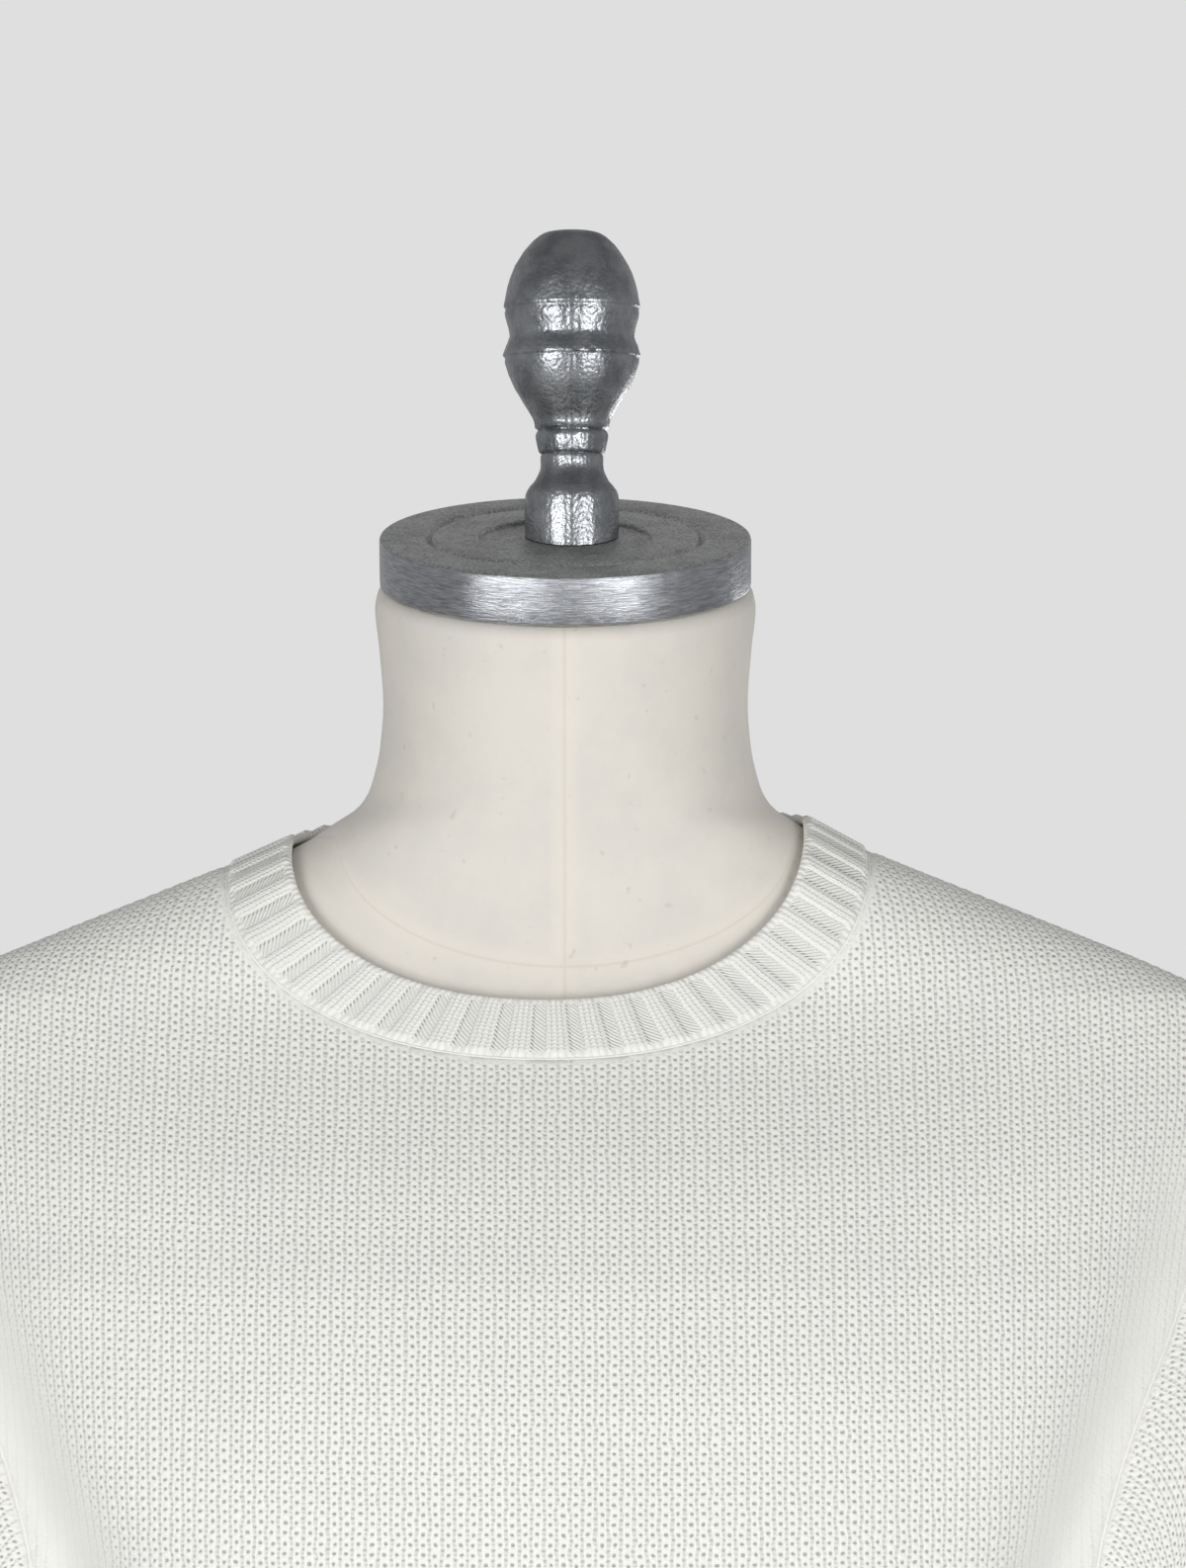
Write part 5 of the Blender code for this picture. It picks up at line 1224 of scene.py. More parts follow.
def read_ring(ring, lengths, walked):
    """Places at walked lengths of a closed ring, in mm from its first point."""
    closed = np.vstack((ring, ring[:1]))
    walked = walked % lengths[-1]
    return np.column_stack([np.interp(walked, lengths, closed[:, axis]) for axis in range(3)])


def ring_lengths(ring):
    """Lengths walked round a closed ring up to each point and back to the first, in mm."""
    steps = np.linalg.norm(np.diff(np.vstack((ring, ring[:1])), axis=0), axis=1) / MM
    return np.concatenate(([0.0], np.cumsum(steps)))


def sleeve_rings(side):
    """A sleeve's rings from the cuff up, the inside of the last one and its underarm point."""
    front, rear = armholes["front"]["armhole", side], armholes["back"]["armhole", side]
    half, tail = len(front["turns"]), slice(-2, 0, -1)
    turns = np.concatenate((front["turns"], 360.0 - rear["turns"][tail]))
    across = np.vstack((front["across"], rear["across"][tail]))
    start = np.vstack((front["outer"], rear["outer"][tail])) + across * SEAM_GAP * MM
    below = np.vstack((front["inner"], rear["inner"][tail])) + across * SEAM_GAP * MM
    heading = np.vstack((
        sleeve_start(front["turns"], side, False), sleeve_start(rear["turns"][tail], side, True)))
    table = SmoothTable(SLEEVE_RINGS)
    top, bottom = SLEEVE_RINGS[0][0], SLEEVE_RINGS[-1][0]
    tube = [
        oval((*table.at(level), level), turns, side)
        for level in np.linspace(bottom, top, int((top - bottom) / TUBE_STEP) + 1)
    ]
    first = tube[-1]
    reach = np.linalg.norm(first - start, axis=1)[:, None]
    head = []
    for step in range(HEAD_STEPS - 1, -1, -1):
        part = step / HEAD_STEPS
        head.append(
            start * (2 * part**3 - 3 * part**2 + 1)
            + heading * reach * (part**3 - 2 * part**2 + part)
            + first * (3 * part**2 - 2 * part**3)
            + np.array((0.0, 0.0, -1.0)) * reach * (part**3 - part**2)
        )
    return np.array(tube + head), below, half - 1


def build_sleeve(side):
    """One sleeve's wall, its cut, and which of its points are one along the underarm."""
    rings, below, underarm = sleeve_rings(side)
    lengths = np.array([ring_lengths(ring) for ring in rings])
    ahead = lengths[:, underarm]
    behind = lengths[:, -1] - ahead
    reach = int(max(ahead.max(), behind.max()) / WALE) + 3
    columns = np.arange(-reach, reach + 1)
    walked = -side * columns * WALE
    places = np.array([read_ring(r, l, walked) for r, l in zip(rings, lengths)])
    paths = np.array([
        read_ring(r, l, np.clip(walked, -b, a)) for r, l, a, b in zip(rings, lengths, ahead, behind)])
    climbed = np.vstack((
        np.zeros((1, len(columns))),
        np.cumsum(np.linalg.norm(np.diff(paths, axis=0), axis=2), axis=0),
    )) / (COURSE * MM)
    top_line = read_grid(climbed, np.arange(len(rings)), np.full(len(rings), float(reach)))
    crease_place = np.stack(np.broadcast_arrays(walked[None, :], top_line[:, None] * COURSE), axis=-1)
    dips = crease_depth(crease_place, SLEEVE_CREASES)
    grid = {"reach": reach, "places": places, "climbed": climbed, "dips": dips,
            "calm": np.zeros_like(dips)}

    last = len(rings) - 1
    around = len(rings[0])
    right_way, left_way = (ahead, -behind) if side < 0 else (-behind, ahead)
    bottom_walk = np.linspace(left_way[0], right_way[0], int(lengths[0, -1] / RIM_STEP) + 1)
    up = np.arange(last + 1)
    round_front = np.arange(underarm, -1, -1)
    round_back = np.arange(around - 1, underarm - 1, -1)
    top_order = np.concatenate((round_front, round_back))
    top_walk = np.concatenate((lengths[last, round_front], lengths[last, round_back] - lengths[last, -1]))
    if side > 0:
        top_order, top_walk = top_order[::-1], top_walk[::-1]
    facing = surface_normals(places)
    flat, outer, inner = [], [], []
    for rows, walk, order in (
        (np.zeros(len(bottom_walk), int), bottom_walk, None),
        (up, right_way, None),
        (np.full(len(top_walk), last), top_walk, top_order),
        (up[::-1], left_way[::-1], None),
    ):
        wales = -side * walk / WALE
        spots = np.vstack([read_ring(rings[r], lengths[r], np.array([w])) for r, w in zip(rows, walk)])
        under = spots - unit(read_grid(facing, rows.astype(float), wales + reach)) * CLOTH * MM
        if order is not None:
            spots, under = rings[last][order], below[order]
        flat.append(np.column_stack((wales, read_grid(climbed, rows.astype(float), wales + reach)))[:-1])
        outer.append(spots[:-1])
        inner.append(under[:-1])
    counts = [len(part) for part in flat]
    flat, outer, inner = (np.concatenate(part) for part in (flat, outer, inner))
    bottom_end, right_end, top_end = np.cumsum(counts)[:3]
    rimmed = np.zeros(len(flat), bool)
    rimmed[:bottom_end] = True
    rimmed[right_end:top_end] = True
    wall = knit_wall(grid, flat, outer, inner, rimmed, np.zeros(len(flat), bool))

    same = np.arange(len(flat))
    same[0] = bottom_end
    same[top_end] = right_end
    left_points = np.arange(1, counts[3])
    same[top_end + left_points] = bottom_end + last - left_points
    weld = np.arange(len(wall["points"]))
    for offset in (wall["first_rim"], wall["first_rim"] + len(flat)):
        weld[offset:offset + len(flat)] = offset + same
    return wall, cut_size(flat), weld


for side, word in ((-1, "right"), (1, "left")):
    wall, (cut, cut_area), weld = build_sleeve(side)
    sleeve = knitted_piece("knit_sleeve_" + word, wall, weld)
    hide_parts("sleeve_" + word)


# The armhole seams: the sleeves are linked to the panels with a run of the same yarn, which
# lies in each seam as a thin round line. It is grown as a tube along the armhole's edge.
SEAM_YARN_RADIUS = 0.62


def seam_yarn_tree():
    """A round yarn along the piece's line of edges."""
    tree, start, end = geometry_tree("seam_yarn", [
        ("Radius", "NodeSocketFloat"), ("Yarn", "NodeSocketMaterial")])
    line = add_node(tree, "GeometryNodeMeshToCurve", {"Mesh": start.outputs["Geometry"]})
    section = add_node(tree, "GeometryNodeCurvePrimitiveCircle", {
        "Resolution": 8, "Radius": start.outputs["Radius"]})
    tube = add_node(tree, "GeometryNodeCurveToMesh", {
        "Curve": line.outputs[0], "Profile Curve": section.outputs[0]})
    whole = add_node(tree, "GeometryNodeRealizeInstances", {"Geometry": tube.outputs[0]})
    smooth = add_node(tree, "GeometryNodeSetShadeSmooth", {"Geometry": whole.outputs[0]})
    dyed = add_node(tree, "GeometryNodeSetMaterial", {
        "Geometry": smooth.outputs[0], "Material": start.outputs["Yarn"]})
    tree.links.new(dyed.outputs[0], end.inputs[0])
    return tree


def closed_line(name, places, material, point_values=None):
    """An object with the places joined in a closed line of edges."""
    piece = make_piece(name, places, [], material, point_values=point_values)
    count = len(places)
    ends = np.column_stack((np.arange(count), (np.arange(count) + 1) % count))
    piece.data.edges.add(count)
    piece.data.edges.foreach_set("vertices", ends.ravel())
    return piece


plain_yarn, tree, shader = new_material(
    "off_white_yarn", Roughness=0.95, Sheen_Weight=0.12, Sheen_Roughness=0.6)
place = add_node(tree, "ShaderNodeTexCoord").outputs["Object"]
yarn = use_group(tree, YARN, {"Vector": place})
tree.links.new(mix_colour(tree, yarn.outputs["Fibres"], YARN_GREY, YARN_WHITE), shader.inputs["Base Color"])
bump = add_node(tree, "ShaderNodeBump", {
    "Height": yarn.outputs["Fibres"], "Strength": 0.6, "Distance": 0.0003})
tree.links.new(bump.outputs[0], shader.inputs["Normal"])

SEAM_YARN = seam_yarn_tree()
for side, word in ((-1, "right"), (1, "left")):
    front, rear = armholes["front"]["armhole", side], armholes["back"]["armhole", side]
    middle = [half["outer"] + half["across"] * SEAM_GAP / 2.0 * MM for half in (front, rear)]
    places = np.vstack((middle[0], middle[1][-2:0:-1]))
    seam = closed_line("armhole_seam_" + word, places, plain_yarn)
    grow(seam, SEAM_YARN, {"Radius": SEAM_YARN_RADIUS * MM, "Yarn": plain_yarn})
    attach(seam, "root")


# The neckband: a rib strip folded at its inner edge and linked to the neck edge. Between its
# raised ribs lie sunk stretches of slanting yarn, and a row of loops links it to the panels.
NECK_RIBS = 50
RIB_STATIONS = 14
RIB_RISE = 0.95
RIB_MIDDLE, RIB_HALF_WIDTH, RIB_FLANK, RIB_END = 0.46, 0.34, 0.5, 3.0
BAND_WIDTH = 24.0
BAND_TOP, BAND_BOTTOM = 0.45, -2.25
BAND_SWELL = 1.5
BAND_OUTER_ROWS, BAND_FOLD_ROWS = 26, 7
BAND_INSIDE_ROWS = (16.0, 9.0, 0.0)
BAND_COURSE = 1.55
LOOP_SAMPLES = 240
RIB_LEAN = 7.0
LINK_SPACING = 2.9
LINK_TALL, LINK_WIDE, LINK_YARN = 3.4, 1.9, 0.36
LINK_RIDGE, LINK_LIFT = 0.50, -0.20
LINK_SEED = 5


def rib_stitch_group():
    """Stitches of a rib: lines and chevrons on the raised part, slanting yarns in the sunk one, and painted
    shade in the grooves, under the bars, in the holes and between the end loops.

    Rib holds how many ribs across, and the millimetres to each of the two edges.
    """
    group, start, end = group_sockets(
        "rib_stitch",
        [("Rib", "NodeSocketVector", None), ("Wales", "NodeSocketFloat", 6.0),
         ("Slant", "NodeSocketFloat", 7.0)],
        [("Height", "NodeSocketFloat"), ("Painted Shade", "NodeSocketFloat")],
    )
    parts = add_node(group, "ShaderNodeSeparateXYZ", {"Vector": start.outputs["Rib"]})
    across, up, down = (parts.outputs[label] for label in "XYZ")
    from_sunk = maths(group, "SUBTRACT", maths(group, "FRACT", maths(group, "ADD", across, 0.54)), 0.5)
    sunk = maths(group, "SUBTRACT", 1.0, between(group, maths(group, "ABSOLUTE", from_sunk), 0.14, 0.21))
    courses = maths(group, "DIVIDE", up, BAND_COURSE)
    in_wale = maths(group, "FRACT", maths(group, "MULTIPLY", across, start.outputs["Wales"]))
    from_wale = maths(group, "ABSOLUTE", maths(group, "SUBTRACT", in_wale, 0.5))
    groove = between(group, from_wale, 0.28, 0.5)
    chevron = maths(group, "MULTIPLY", maths(group, "ADD", courses, from_wale), 2.0 * math.pi)
    chevron = maths(group, "COSINE", chevron)
    slanted = maths(group, "ADD", courses, maths(group, "MULTIPLY", from_sunk, start.outputs["Slant"]))
    bars = maths(group, "COSINE", maths(group, "MULTIPLY", slanted, 2.0 * math.pi))
    hole_line = maths(group, "SUBTRACT", 1.0, between(
        group, maths(group, "ABSOLUTE", maths(group, "ADD", from_sunk, 0.15)), 0.03, 0.075))
    hole = maths(group, "MULTIPLY", hole_line, between(group, maths(group, "MULTIPLY", bars, -1.0), 0.1, 0.9))
    to_end = maths(group, "MINIMUM", up, down)
    near_end = maths(group, "SUBTRACT", 1.0, between(group, to_end, 1.6, 3.4))
    loops = maths(group, "COSINE", maths(group, "MULTIPLY", across, 2.0 * math.pi * 5.0))
    raised = maths(group, "MULTIPLY_ADD", groove, -0.75, maths(group, "MULTIPLY", chevron, 0.22))
    lowered = maths(group, "MULTIPLY_ADD", hole, -0.8, maths(group, "MULTIPLY", bars, 0.5))
    ends = maths(group, "MULTIPLY", loops, 0.45)
    height = add_node(group, "ShaderNodeMix", {0: sunk, 2: raised, 3: lowered}, data_type="FLOAT")
    height = add_node(
        group, "ShaderNodeMix", {0: near_end, 2: height.outputs[0], 3: ends}, data_type="FLOAT")
    # Painted shade: darker under the slanting bars, in the grooves of the raised part, in the sunk holes and
    # between the loops at the ends.
    under_bars = between(group, maths(group, "MULTIPLY", bars, -1.0), -0.2, 0.9)
    bar_gap_shade = maths(group, "MULTIPLY", sunk, under_bars)
    on_raised = maths(group, "SUBTRACT", 1.0, sunk)
    raised_groove_shade = maths(group, "MULTIPLY", on_raised, maths(group, "MULTIPLY", groove, 0.20))
    painted_shade = maths(group, "ADD", maths(group, "MULTIPLY", bar_gap_shade, 0.18), raised_groove_shade)
    painted_shade = maths(group, "ADD", painted_shade, maths(group, "MULTIPLY", maths(group, "MULTIPLY", hole, sunk), 0.85))
    painted_shade = maths(group, "MULTIPLY", painted_shade, maths(group, "SUBTRACT", 1.0, near_end))
    between_loops = between(group, maths(group, "MULTIPLY", loops, -1.0), 0.2, 1.0)
    end_loop_shade = maths(group, "MULTIPLY", near_end, between_loops)
    painted_shade = maths(group, "ADD", painted_shade, maths(group, "MULTIPLY", end_loop_shade, 0.22))
    group.links.new(height.outputs[0], end.inputs["Height"])
    group.links.new(painted_shade, end.inputs["Painted Shade"])
    return group


RIB_STITCH = rib_stitch_group()


def rib_material(name, wales, slant):
    """Rib knit in the same yarn as the panels."""
    made, tree, shader = new_material(name, Roughness=0.95, Sheen_Weight=0.12, Sheen_Roughness=0.6)
    place = add_node(tree, "ShaderNodeTexCoord").outputs["Object"]
    rib = add_node(tree, "ShaderNodeAttribute", attribute_name="rib").outputs["Vector"]
    wobble = add_node(tree, "ShaderNodeTexNoise", {"Vector": place, "Scale": 160.0, "Detail": 1.0})
    centred = add_node(
        tree, "ShaderNodeVectorMath", {0: wobble.outputs["Color"], 1: (-0.5, -0.5, -0.5)}, operation="ADD")
    bent = add_node(
        tree, "ShaderNodeVectorMath", {0: centred.outputs[0], 1: (0.07, 0.9, 0.9), 2: rib},
        operation="MULTIPLY_ADD")
    stitches = use_group(tree, RIB_STITCH, {"Rib": bent.outputs[0], "Wales": wales, "Slant": slant})
    yarn = use_group(tree, YARN, {"Vector": place})
    tone = mix_colour(tree, between(tree, yarn.outputs["Patches"], 0.35, 0.7), YARN_WHITE, YARN_GREY)
    # The stitches' painted shade darkens the yarn towards YARN_SHADE.
    tone = mix_colour(tree, stitches.outputs["Painted Shade"], tone, YARN_SHADE)
    tree.links.new(tone, shader.inputs["Base Color"])
    fibres = maths(tree, "MULTIPLY", yarn.outputs["Fibres"], 0.5)
    height = maths(tree, "ADD", stitches.outputs["Height"], fibres)
    bump = add_node(tree, "ShaderNodeBump", {"Height": height, "Strength": 0.8, "Distance": 0.0004})
    tree.links.new(bump.outputs[0], shader.inputs["Normal"])
    return made


def rib_rise(shares, from_ends):
    """How far ribs stand out, 0 to 1, with round ends: shares count ribs, from_ends is in mm."""
    beside = (shares % 1.0 - RIB_MIDDLE) / RIB_HALF_WIDTH
    beyond = np.clip(1.0 - from_ends / RIB_END, 0.0, 1.0)
    inside = np.clip((1.0 - np.hypot(beside, beyond)) / RIB_FLANK, 0.0, 1.0)
    return inside * inside * (3.0 - 2.0 * inside)


def ribbed_piece(name, rows, rib_count, from_edges, closed, material):
    """A rib-knit wall from rows of points that run round its section.

    from_edges holds the millimetres of each row from the piece's two edges.
    """
    row_count, column_count = rows.shape[:2]
    last = column_count if closed else column_count - 1
    row, column = np.meshgrid(np.arange(row_count), np.arange(last), indexing="ij")
    corner_rows = np.stack((row, row, row + 1, row + 1), axis=-1).reshape(-1, 4)
    corner_columns = np.stack((column, column + 1, column + 1, column), axis=-1).reshape(-1, 4)
    faces = (corner_rows % row_count) * column_count + corner_columns % column_count
    points = rows.reshape(-1, 3)
    one, two, three, four = (points[faces[:, i]] for i in range(4))
    volume = (one * np.cross(two, three)).sum() + (one * np.cross(three, four)).sum()
    if volume < 0.0:
        faces, corner_rows, corner_columns = faces[:, ::-1], corner_rows[:, ::-1], corner_columns[:, ::-1]
    edge_values = from_edges[corner_rows.ravel() % row_count]
    values = np.column_stack((corner_columns.ravel() * rib_count / last, edge_values))
    faces = faces.tolist()
    if not closed:
        starts = [int(r) * column_count for r in range(row_count)]
        ends = [start + column_count - 1 for start in starts]
        first_end, last_end = (starts, ends[::-1]) if volume < 0.0 else (starts[::-1], ends)
        faces += [first_end, last_end]
        for loop, share in ((first_end, 0.0), (last_end, float(rib_count))):
            loop_rows = np.array(loop) // column_count
            values = np.vstack((values, np.column_stack((np.full(len(loop), share), from_edges[loop_rows]))))
    piece = make_piece(name, points, faces, material, corner_values={"rib": values})
    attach(piece, "root")
    return piece


def neck_runs(half_width, front_level, back_level):
    """A neckline loop from the left shoulder over the front: its places and its normals."""
    quarters = ((-1, 90.0, 0.0), (1, 0.0, 90.0), (1, 90.0, 180.0), (-1, 180.0, 90.0))
    places, normals = [], []
    for side, first, last in quarters:
        turns = np.linspace(first, last, LOOP_SAMPLES + 1)[:-1]
        angles, levels = neck_loop(turns, side, half_width, front_level, back_level)
        places.append(sweater.point(angles, levels))
        normals.append(sweater.normal(angles, levels))
    return np.vstack(places), np.vstack(normals)


seam_loop, seam_normals = neck_runs(SEAM_HALF_WIDTH, SEAM_FRONT, SEAM_BACK)
edge_loop, _ = neck_runs(EDGE_HALF_WIDTH, EDGE_FRONT, EDGE_BACK)
seam_run = np.roll(seam_loop, -1, axis=0) - np.roll(seam_loop, 1, axis=0)
band_across = unit(edge_loop - seam_loop)
band_facing = unit(np.cross(band_across, seam_run))
band_facing *= -np.sign(band_facing[LOOP_SAMPLES, 1])
band_start = seam_loop + band_across * SEAM_GAP * MM
seam_below = seam_loop - seam_normals * CLOTH * MM + band_across * SEAM_GAP * MM


def loop_fractions(loop, stations):
    """Even stations along a closed loop, as fractions of its run of points."""
    lengths = ring_lengths(loop)
    return np.interp(np.arange(stations) / stations * lengths[-1], lengths, np.arange(len(lengths)))


def read_loop(values, fractions):
    """Values of a closed loop at its stations."""
    return pick(np.vstack((values, values[:1])), fractions)


fold_radius = (BAND_TOP - BAND_BOTTOM) / 2.0
band_profile = []
for step in range(BAND_OUTER_ROWS):
    along = (BAND_WIDTH - fold_radius) * step / (BAND_OUTER_ROWS - 1)
    band_profile.append((along, BAND_TOP * min(along / BAND_SWELL, 1.0), 1.0))
for step in range(1, BAND_FOLD_ROWS):
    turn = math.pi * step / BAND_FOLD_ROWS
    band_profile.append((
        BAND_WIDTH - fold_radius + fold_radius * math.sin(turn),
        (BAND_TOP + BAND_BOTTOM) / 2.0 + fold_radius * math.cos(turn), max(math.cos(turn), 0.0)))
for along in (BAND_WIDTH - fold_radius, *BAND_INSIDE_ROWS):
    band_profile.append((along, BAND_BOTTOM, 0.0))

neck_stations = NECK_RIBS * RIB_STATIONS
rib_shares = np.arange(neck_stations) / RIB_STATIONS
neck_fractions = loop_fractions((band_start + edge_loop) / 2.0, neck_stations)
front_half = neck_fractions < 2 * LOOP_SAMPLES
lean_forward = RIB_LEAN * np.where(front_half, np.sin(math.pi * neck_fractions / LOOP_SAMPLES), 0.0)
facing = read_loop(band_facing, neck_fractions)
band_rows, band_edges = [], []
for row, (along, height, strength) in enumerate(band_profile):
    share = along / BAND_WIDTH
    fractions = (neck_fractions + lean_forward * (share - 0.5)) % len(seam_loop)
    base = read_loop(band_start + (edge_loop - band_start) * share, fractions)
    if row == len(band_profile) - 1:
        base, height = read_loop(seam_below, fractions), 0.0
    lift = height + strength * RIB_RISE * rib_rise(rib_shares, min(along, BAND_WIDTH - along))
    band_rows.append(base + facing * (lift * MM)[:, None])
    band_edges.append((along, BAND_WIDTH - along))
neck_rib = rib_material("off_white_neck_rib", wales=6.0, slant=7.0)
seam_length = ring_lengths(seam_loop)[-1] * MM
band = ribbed_piece(
    "knit_neckband", np.array(band_rows), NECK_RIBS, np.array(band_edges), True, neck_rib)
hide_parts("neckband")


def linking_tree():
    """A low ridge along the points' line, with upright yarn loops standing over it."""
    tree, start, end = geometry_tree("neck_linking", [
        ("Tall", "NodeSocketFloat"), ("Wide", "NodeSocketFloat"), ("Yarn Radius", "NodeSocketFloat"),
        ("Ridge Radius", "NodeSocketFloat"), ("Seed", "NodeSocketInt"), ("Yarn", "NodeSocketMaterial")])
    facing, across = stored_vector(tree, "facing"), stored_vector(tree, "across")
    circle = add_node(tree, "GeometryNodeCurvePrimitiveCircle", {"Resolution": 12, "Radius": 0.5})
    shape = add_node(tree, "ShaderNodeCombineXYZ", {
        0: start.outputs["Wide"], 1: start.outputs["Tall"], 2: 1.0})
    oval_curve = add_node(tree, "GeometryNodeTransform", {
        "Geometry": circle.outputs[0], "Scale": shape.outputs[0]})
    yarn_round = add_node(tree, "GeometryNodeCurvePrimitiveCircle", {
        "Resolution": 5, "Radius": start.outputs["Yarn Radius"]})
    loop = add_node(tree, "GeometryNodeCurveToMesh", {
        "Curve": oval_curve.outputs[0], "Profile Curve": yarn_round.outputs[0]})
    upright = add_node(tree, "FunctionNodeAlignRotationToVector", {"Vector": facing}, axis="Z")
    turned = add_node(
        tree, "FunctionNodeAlignRotationToVector", {"Rotation": upright.outputs[0], "Vector": across},
        axis="Y", pivot_axis="Z")
    size = add_node(
        tree, "FunctionNodeRandomValue", {2: 0.85, 3: 1.12, "Seed": start.outputs["Seed"]},
        data_type="FLOAT")
    placed = add_node(tree, "GeometryNodeInstanceOnPoints", {
        "Points": start.outputs["Geometry"], "Instance": loop.outputs[0],
        "Rotation": turned.outputs[0], "Scale": size.outputs[1]})
    lean = add_node(
        tree, "FunctionNodeRandomValue",
        {0: (-0.12, -0.12, -0.28), 1: (0.12, 0.12, 0.28), "Seed": start.outputs["Seed"]},
        data_type="FLOAT_VECTOR")
    swung = add_node(tree, "GeometryNodeRotateInstances", {
        "Instances": placed.outputs[0], "Rotation": lean.outputs[0]})
    line = add_node(tree, "GeometryNodeMeshToCurve", {"Mesh": start.outputs["Geometry"]})
    ridge_round = add_node(tree, "GeometryNodeCurvePrimitiveCircle", {
        "Resolution": 8, "Radius": start.outputs["Ridge Radius"]})
    ridge = add_node(tree, "GeometryNodeCurveToMesh", {
        "Curve": line.outputs[0], "Profile Curve": ridge_round.outputs[0]})
    both = add_node(tree, "GeometryNodeJoinGeometry")
    tree.links.new(swung.outputs[0], both.inputs[0])
    tree.links.new(ridge.outputs[0], both.inputs[0])
    whole = add_node(tree, "GeometryNodeRealizeInstances", {"Geometry": both.outputs[0]})
    smooth = add_node(tree, "GeometryNodeSetShadeSmooth", {"Geometry": whole.outputs[0]})
    dyed = add_node(tree, "GeometryNodeSetMaterial", {
        "Geometry": smooth.outputs[0], "Material": start.outputs["Yarn"]})
    tree.links.new(dyed.outputs[0], end.inputs[0])
    return tree


link_count = int(seam_length / MM / LINK_SPACING)
link_fractions = loop_fractions(seam_loop, link_count)
link_facing = read_loop(band_facing, link_fractions)
link_across = read_loop(band_across, link_fractions)
link_places = read_loop(seam_loop, link_fractions) + link_facing * LINK_LIFT * MM
linking = closed_line(
    "neck_linking", link_places, plain_yarn, {"facing": link_facing, "across": link_across})
grow(linking, linking_tree(), {
    "Tall": LINK_TALL * MM, "Wide": LINK_WIDE * MM, "Yarn Radius": LINK_YARN * MM,
    "Ridge Radius": LINK_RIDGE * MM, "Seed": LINK_SEED, "Yarn": plain_yarn})
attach(linking, "root")


# The hem ribs and the cuffs: rib knitted on below the panels and the sleeves, drawn in a
# little, with a rounded lower edge.
HEM_RIBS, HEM_STATIONS = 54, 10
CUFF_RIBS, CUFF_STATIONS = 22, 12
CUFF_RISE = 0.9
RIB_ROWS, RIB_FOLD_ROWS = 22, 5
CUFF_RINGS = (
    # rise, middle_x, middle_y, half_across, half_deep
    (-637.0, 233.5, -12.0, 28.5, 40.5),
    (-667.0, 233.0, -11.5, 26.5, 37.5),
    (-697.0, 232.5, -11.0, 26.0, 37.0),
)
body_rib = rib_material("off_white_body_rib", wales=4.0, slant=5.0)


def welt_profile(top, bottom):
    """Levels, insets and rib strength of the rows round a hanging rib's section."""
    radius = CLOTH / 2.0
    rows = [(level, 0.0, 1.0) for level in np.linspace(top, bottom + radius, RIB_ROWS)]
    for step in range(1, RIB_FOLD_ROWS):
        turn = math.pi * step / RIB_FOLD_ROWS
        level = bottom + radius - radius * math.sin(turn)
        rows.append((level, radius - radius * math.cos(turn), max(math.cos(turn), 0.0)))
    rows += [(level, CLOTH, 0.0) for level in np.linspace(bottom + radius, top, 4)]
    return rows


def welt(name, top, bottom, stations, ribs, closed, places_at):
    """A hanging rib; places_at gives the places and the outward directions at a level."""
    rows, edges = [], []
    shares = np.arange(stations) * ribs / (stations if closed else stations - 1)
    for level, inset, strength in welt_profile(top, bottom):
        places, outward = places_at(level)
        rise = strength * CUFF_RISE * rib_rise(shares, RIB_END)
        rows.append(places + outward * ((rise - inset) * MM)[:, None])
        edges.append((top - level, level - bottom))
    return ribbed_piece(name, np.array(rows), ribs, np.array(edges), closed, body_rib)


for word, back in (("front", False), ("back", True)):
    hem_stations = HEM_RIBS * HEM_STATIONS + 1

    def hem_places(level, back=back, stations=hem_stations):
        arcs = sweater.arcs(np.array([level]), back)[0]
        walked = np.linspace(-arcs[-1], arcs[-1], stations)
        angles = np.sign(walked) * np.interp(np.abs(walked), arcs, Figure.ARC_ANGLES)
        angles = angles + (180.0 if back else 0.0)
        places, outward = sweater.point(angles, level), sweater.normal(angles, level)
        outward[:, 2] = 0.0
        outward[[0, -1], 1] = 0.0
        places[[0, -1], 1] += SEAM_GAP * MM / 2.0 * (1.0 if back else -1.0)
        return places, unit(outward)

    half_hem = sweater.arcs(np.array([HEM_BOTTOM]), back)[0, -1]
    hem = welt(
        "rib_hem_" + word, HEM_TOP - SEAM_GAP, HEM_BOTTOM, hem_stations, HEM_RIBS, False, hem_places)
    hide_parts("hem_rib_" + word)

for side, word in ((-1, "right"), (1, "left")):
    cuff_table = SmoothTable(CUFF_RINGS)
    cuff_top, cuff_bottom = CUFF_RINGS[0][0] - SEAM_GAP, CUFF_RINGS[-1][0]
    ring_turns = np.arange(0.0, 360.0, 1.0)
    stations = CUFF_RIBS * CUFF_STATIONS

    def cuff_places(level, side=side, stations=stations):
        values = cuff_table.at(level)
        ring = oval((*values, level), ring_turns, side)
        smaller = oval((*(values - np.array((0.0, 0.0, CLOTH, CLOTH))), level), ring_turns, side)
        fractions = loop_fractions(ring, stations)
        return read_loop(ring, fractions), read_loop(unit(ring - smaller), fractions)

    cuff = welt(
        "rib_cuff_" + word, cuff_top, cuff_bottom, stations, CUFF_RIBS, True, cuff_places)
    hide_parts("cuff_" + word)


# The floor and the light: a plain pale floor, a pale surround that is dimmer overhead, two
# tall soft lights in front, left and right of the lens, that give the metal its pairs of
# bright strips, and a weak low one behind that fills the back.
BACKDROP_GREY = (0.737, 0.737, 0.737)
SURROUND_LIGHT = 0.42
SURROUND_TINT = (0.97, 0.985, 1.0)
CEILING_SHARE = 0.62
CEILING_LOW, CEILING_HIGH = 0.15, 0.85
FLOOR_RADIUS, FLOOR_LEVEL = 3.0, -0.0005
FLOOR_SIDES = 96

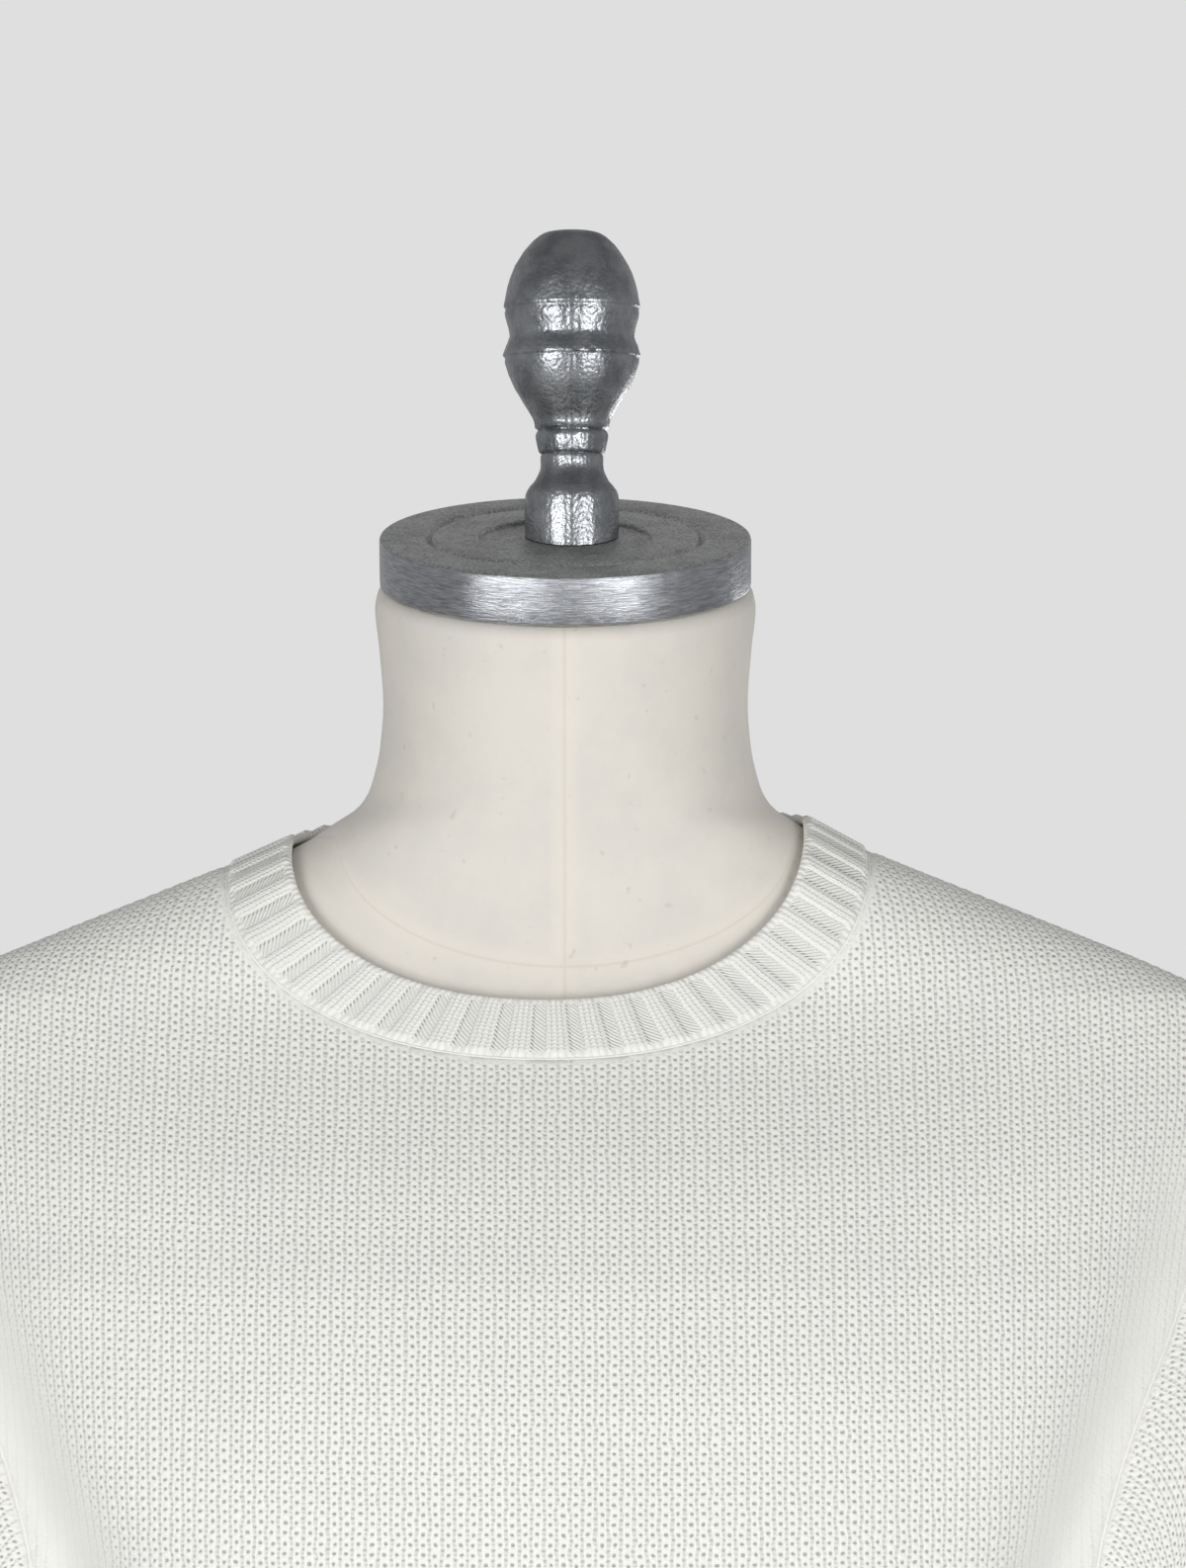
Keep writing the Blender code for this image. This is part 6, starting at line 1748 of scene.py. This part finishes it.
pale, tree, shader = new_material("pale_floor", Roughness=0.9)
place = add_node(tree, "ShaderNodeTexCoord").outputs["Object"]
mottle = add_node(tree, "ShaderNodeTexNoise", {"Vector": place, "Scale": 2.0, "Detail": 3.0})
tone = mix_colour(tree, mottle.outputs[0], (0.70, 0.70, 0.70), (0.76, 0.76, 0.76))
tree.links.new(tone, shader.inputs["Base Color"])
floor_turns = np.arange(FLOOR_SIDES) * 2.0 * math.pi / FLOOR_SIDES
floor_points = np.column_stack((
    FLOOR_RADIUS * np.cos(floor_turns), FLOOR_RADIUS * np.sin(floor_turns),
    np.full(FLOOR_SIDES, FLOOR_LEVEL)))
floor = make_piece("floor", floor_points, [tuple(range(FLOOR_SIDES))], pale)

world = bpy.data.worlds.new("surround")
bpy.context.scene.world = world
world.use_nodes = True
tree = world.node_tree
tree.nodes.clear()
seen = add_node(tree, "ShaderNodeBackground", {"Color": (*BACKDROP_GREY, 1.0), "Strength": 1.0})
towards = add_node(tree, "ShaderNodeTexCoord").outputs["Generated"]
upwards = add_node(tree, "ShaderNodeSeparateXYZ", {0: towards}).outputs[2]
ceiling = between(tree, upwards, CEILING_LOW, CEILING_HIGH)
strength = maths(tree, "MULTIPLY_ADD", ceiling, SURROUND_LIGHT * (CEILING_SHARE - 1.0), SURROUND_LIGHT)
lit = add_node(tree, "ShaderNodeBackground", {"Color": (*SURROUND_TINT, 1.0), "Strength": strength})
path = add_node(tree, "ShaderNodeLightPath")
mixed = add_node(tree, "ShaderNodeMixShader", {
    0: path.outputs["Is Camera Ray"], 1: lit.outputs[0], 2: seen.outputs[0]})
add_node(tree, "ShaderNodeOutputWorld", {"Surface": mixed.outputs[0]})

LIGHTS = (
    # name, place, aim, width, height, watts
    ("softbox_right", (-1.35, -2.1, 0.55), (0.0, 0.0, 0.80), 0.75, 1.7, 31.5),
    ("softbox_left", (1.35, -2.1, 0.55), (0.0, 0.0, 0.80), 0.75, 1.7, 29.5),
    ("softbox_back", (0.7, 2.7, 0.36), (0.0, 0.0, 0.60), 1.8, 0.7, 16.0),
)
for name, spot, aim, width, tall, watts in LIGHTS:
    light = bpy.data.lights.new(name, "AREA")
    light.shape = "RECTANGLE"
    light.size, light.size_y = width, tall
    light.energy = watts
    lamp = bpy.data.objects.new(name, light)
    lamp.location = spot
    lamp.rotation_euler = (Vector(aim) - Vector(spot)).to_track_quat("-Z", "Y").to_euler()
    bpy.context.scene.collection.objects.link(lamp)

bpy.context.scene.view_settings.view_transform = "Standard"
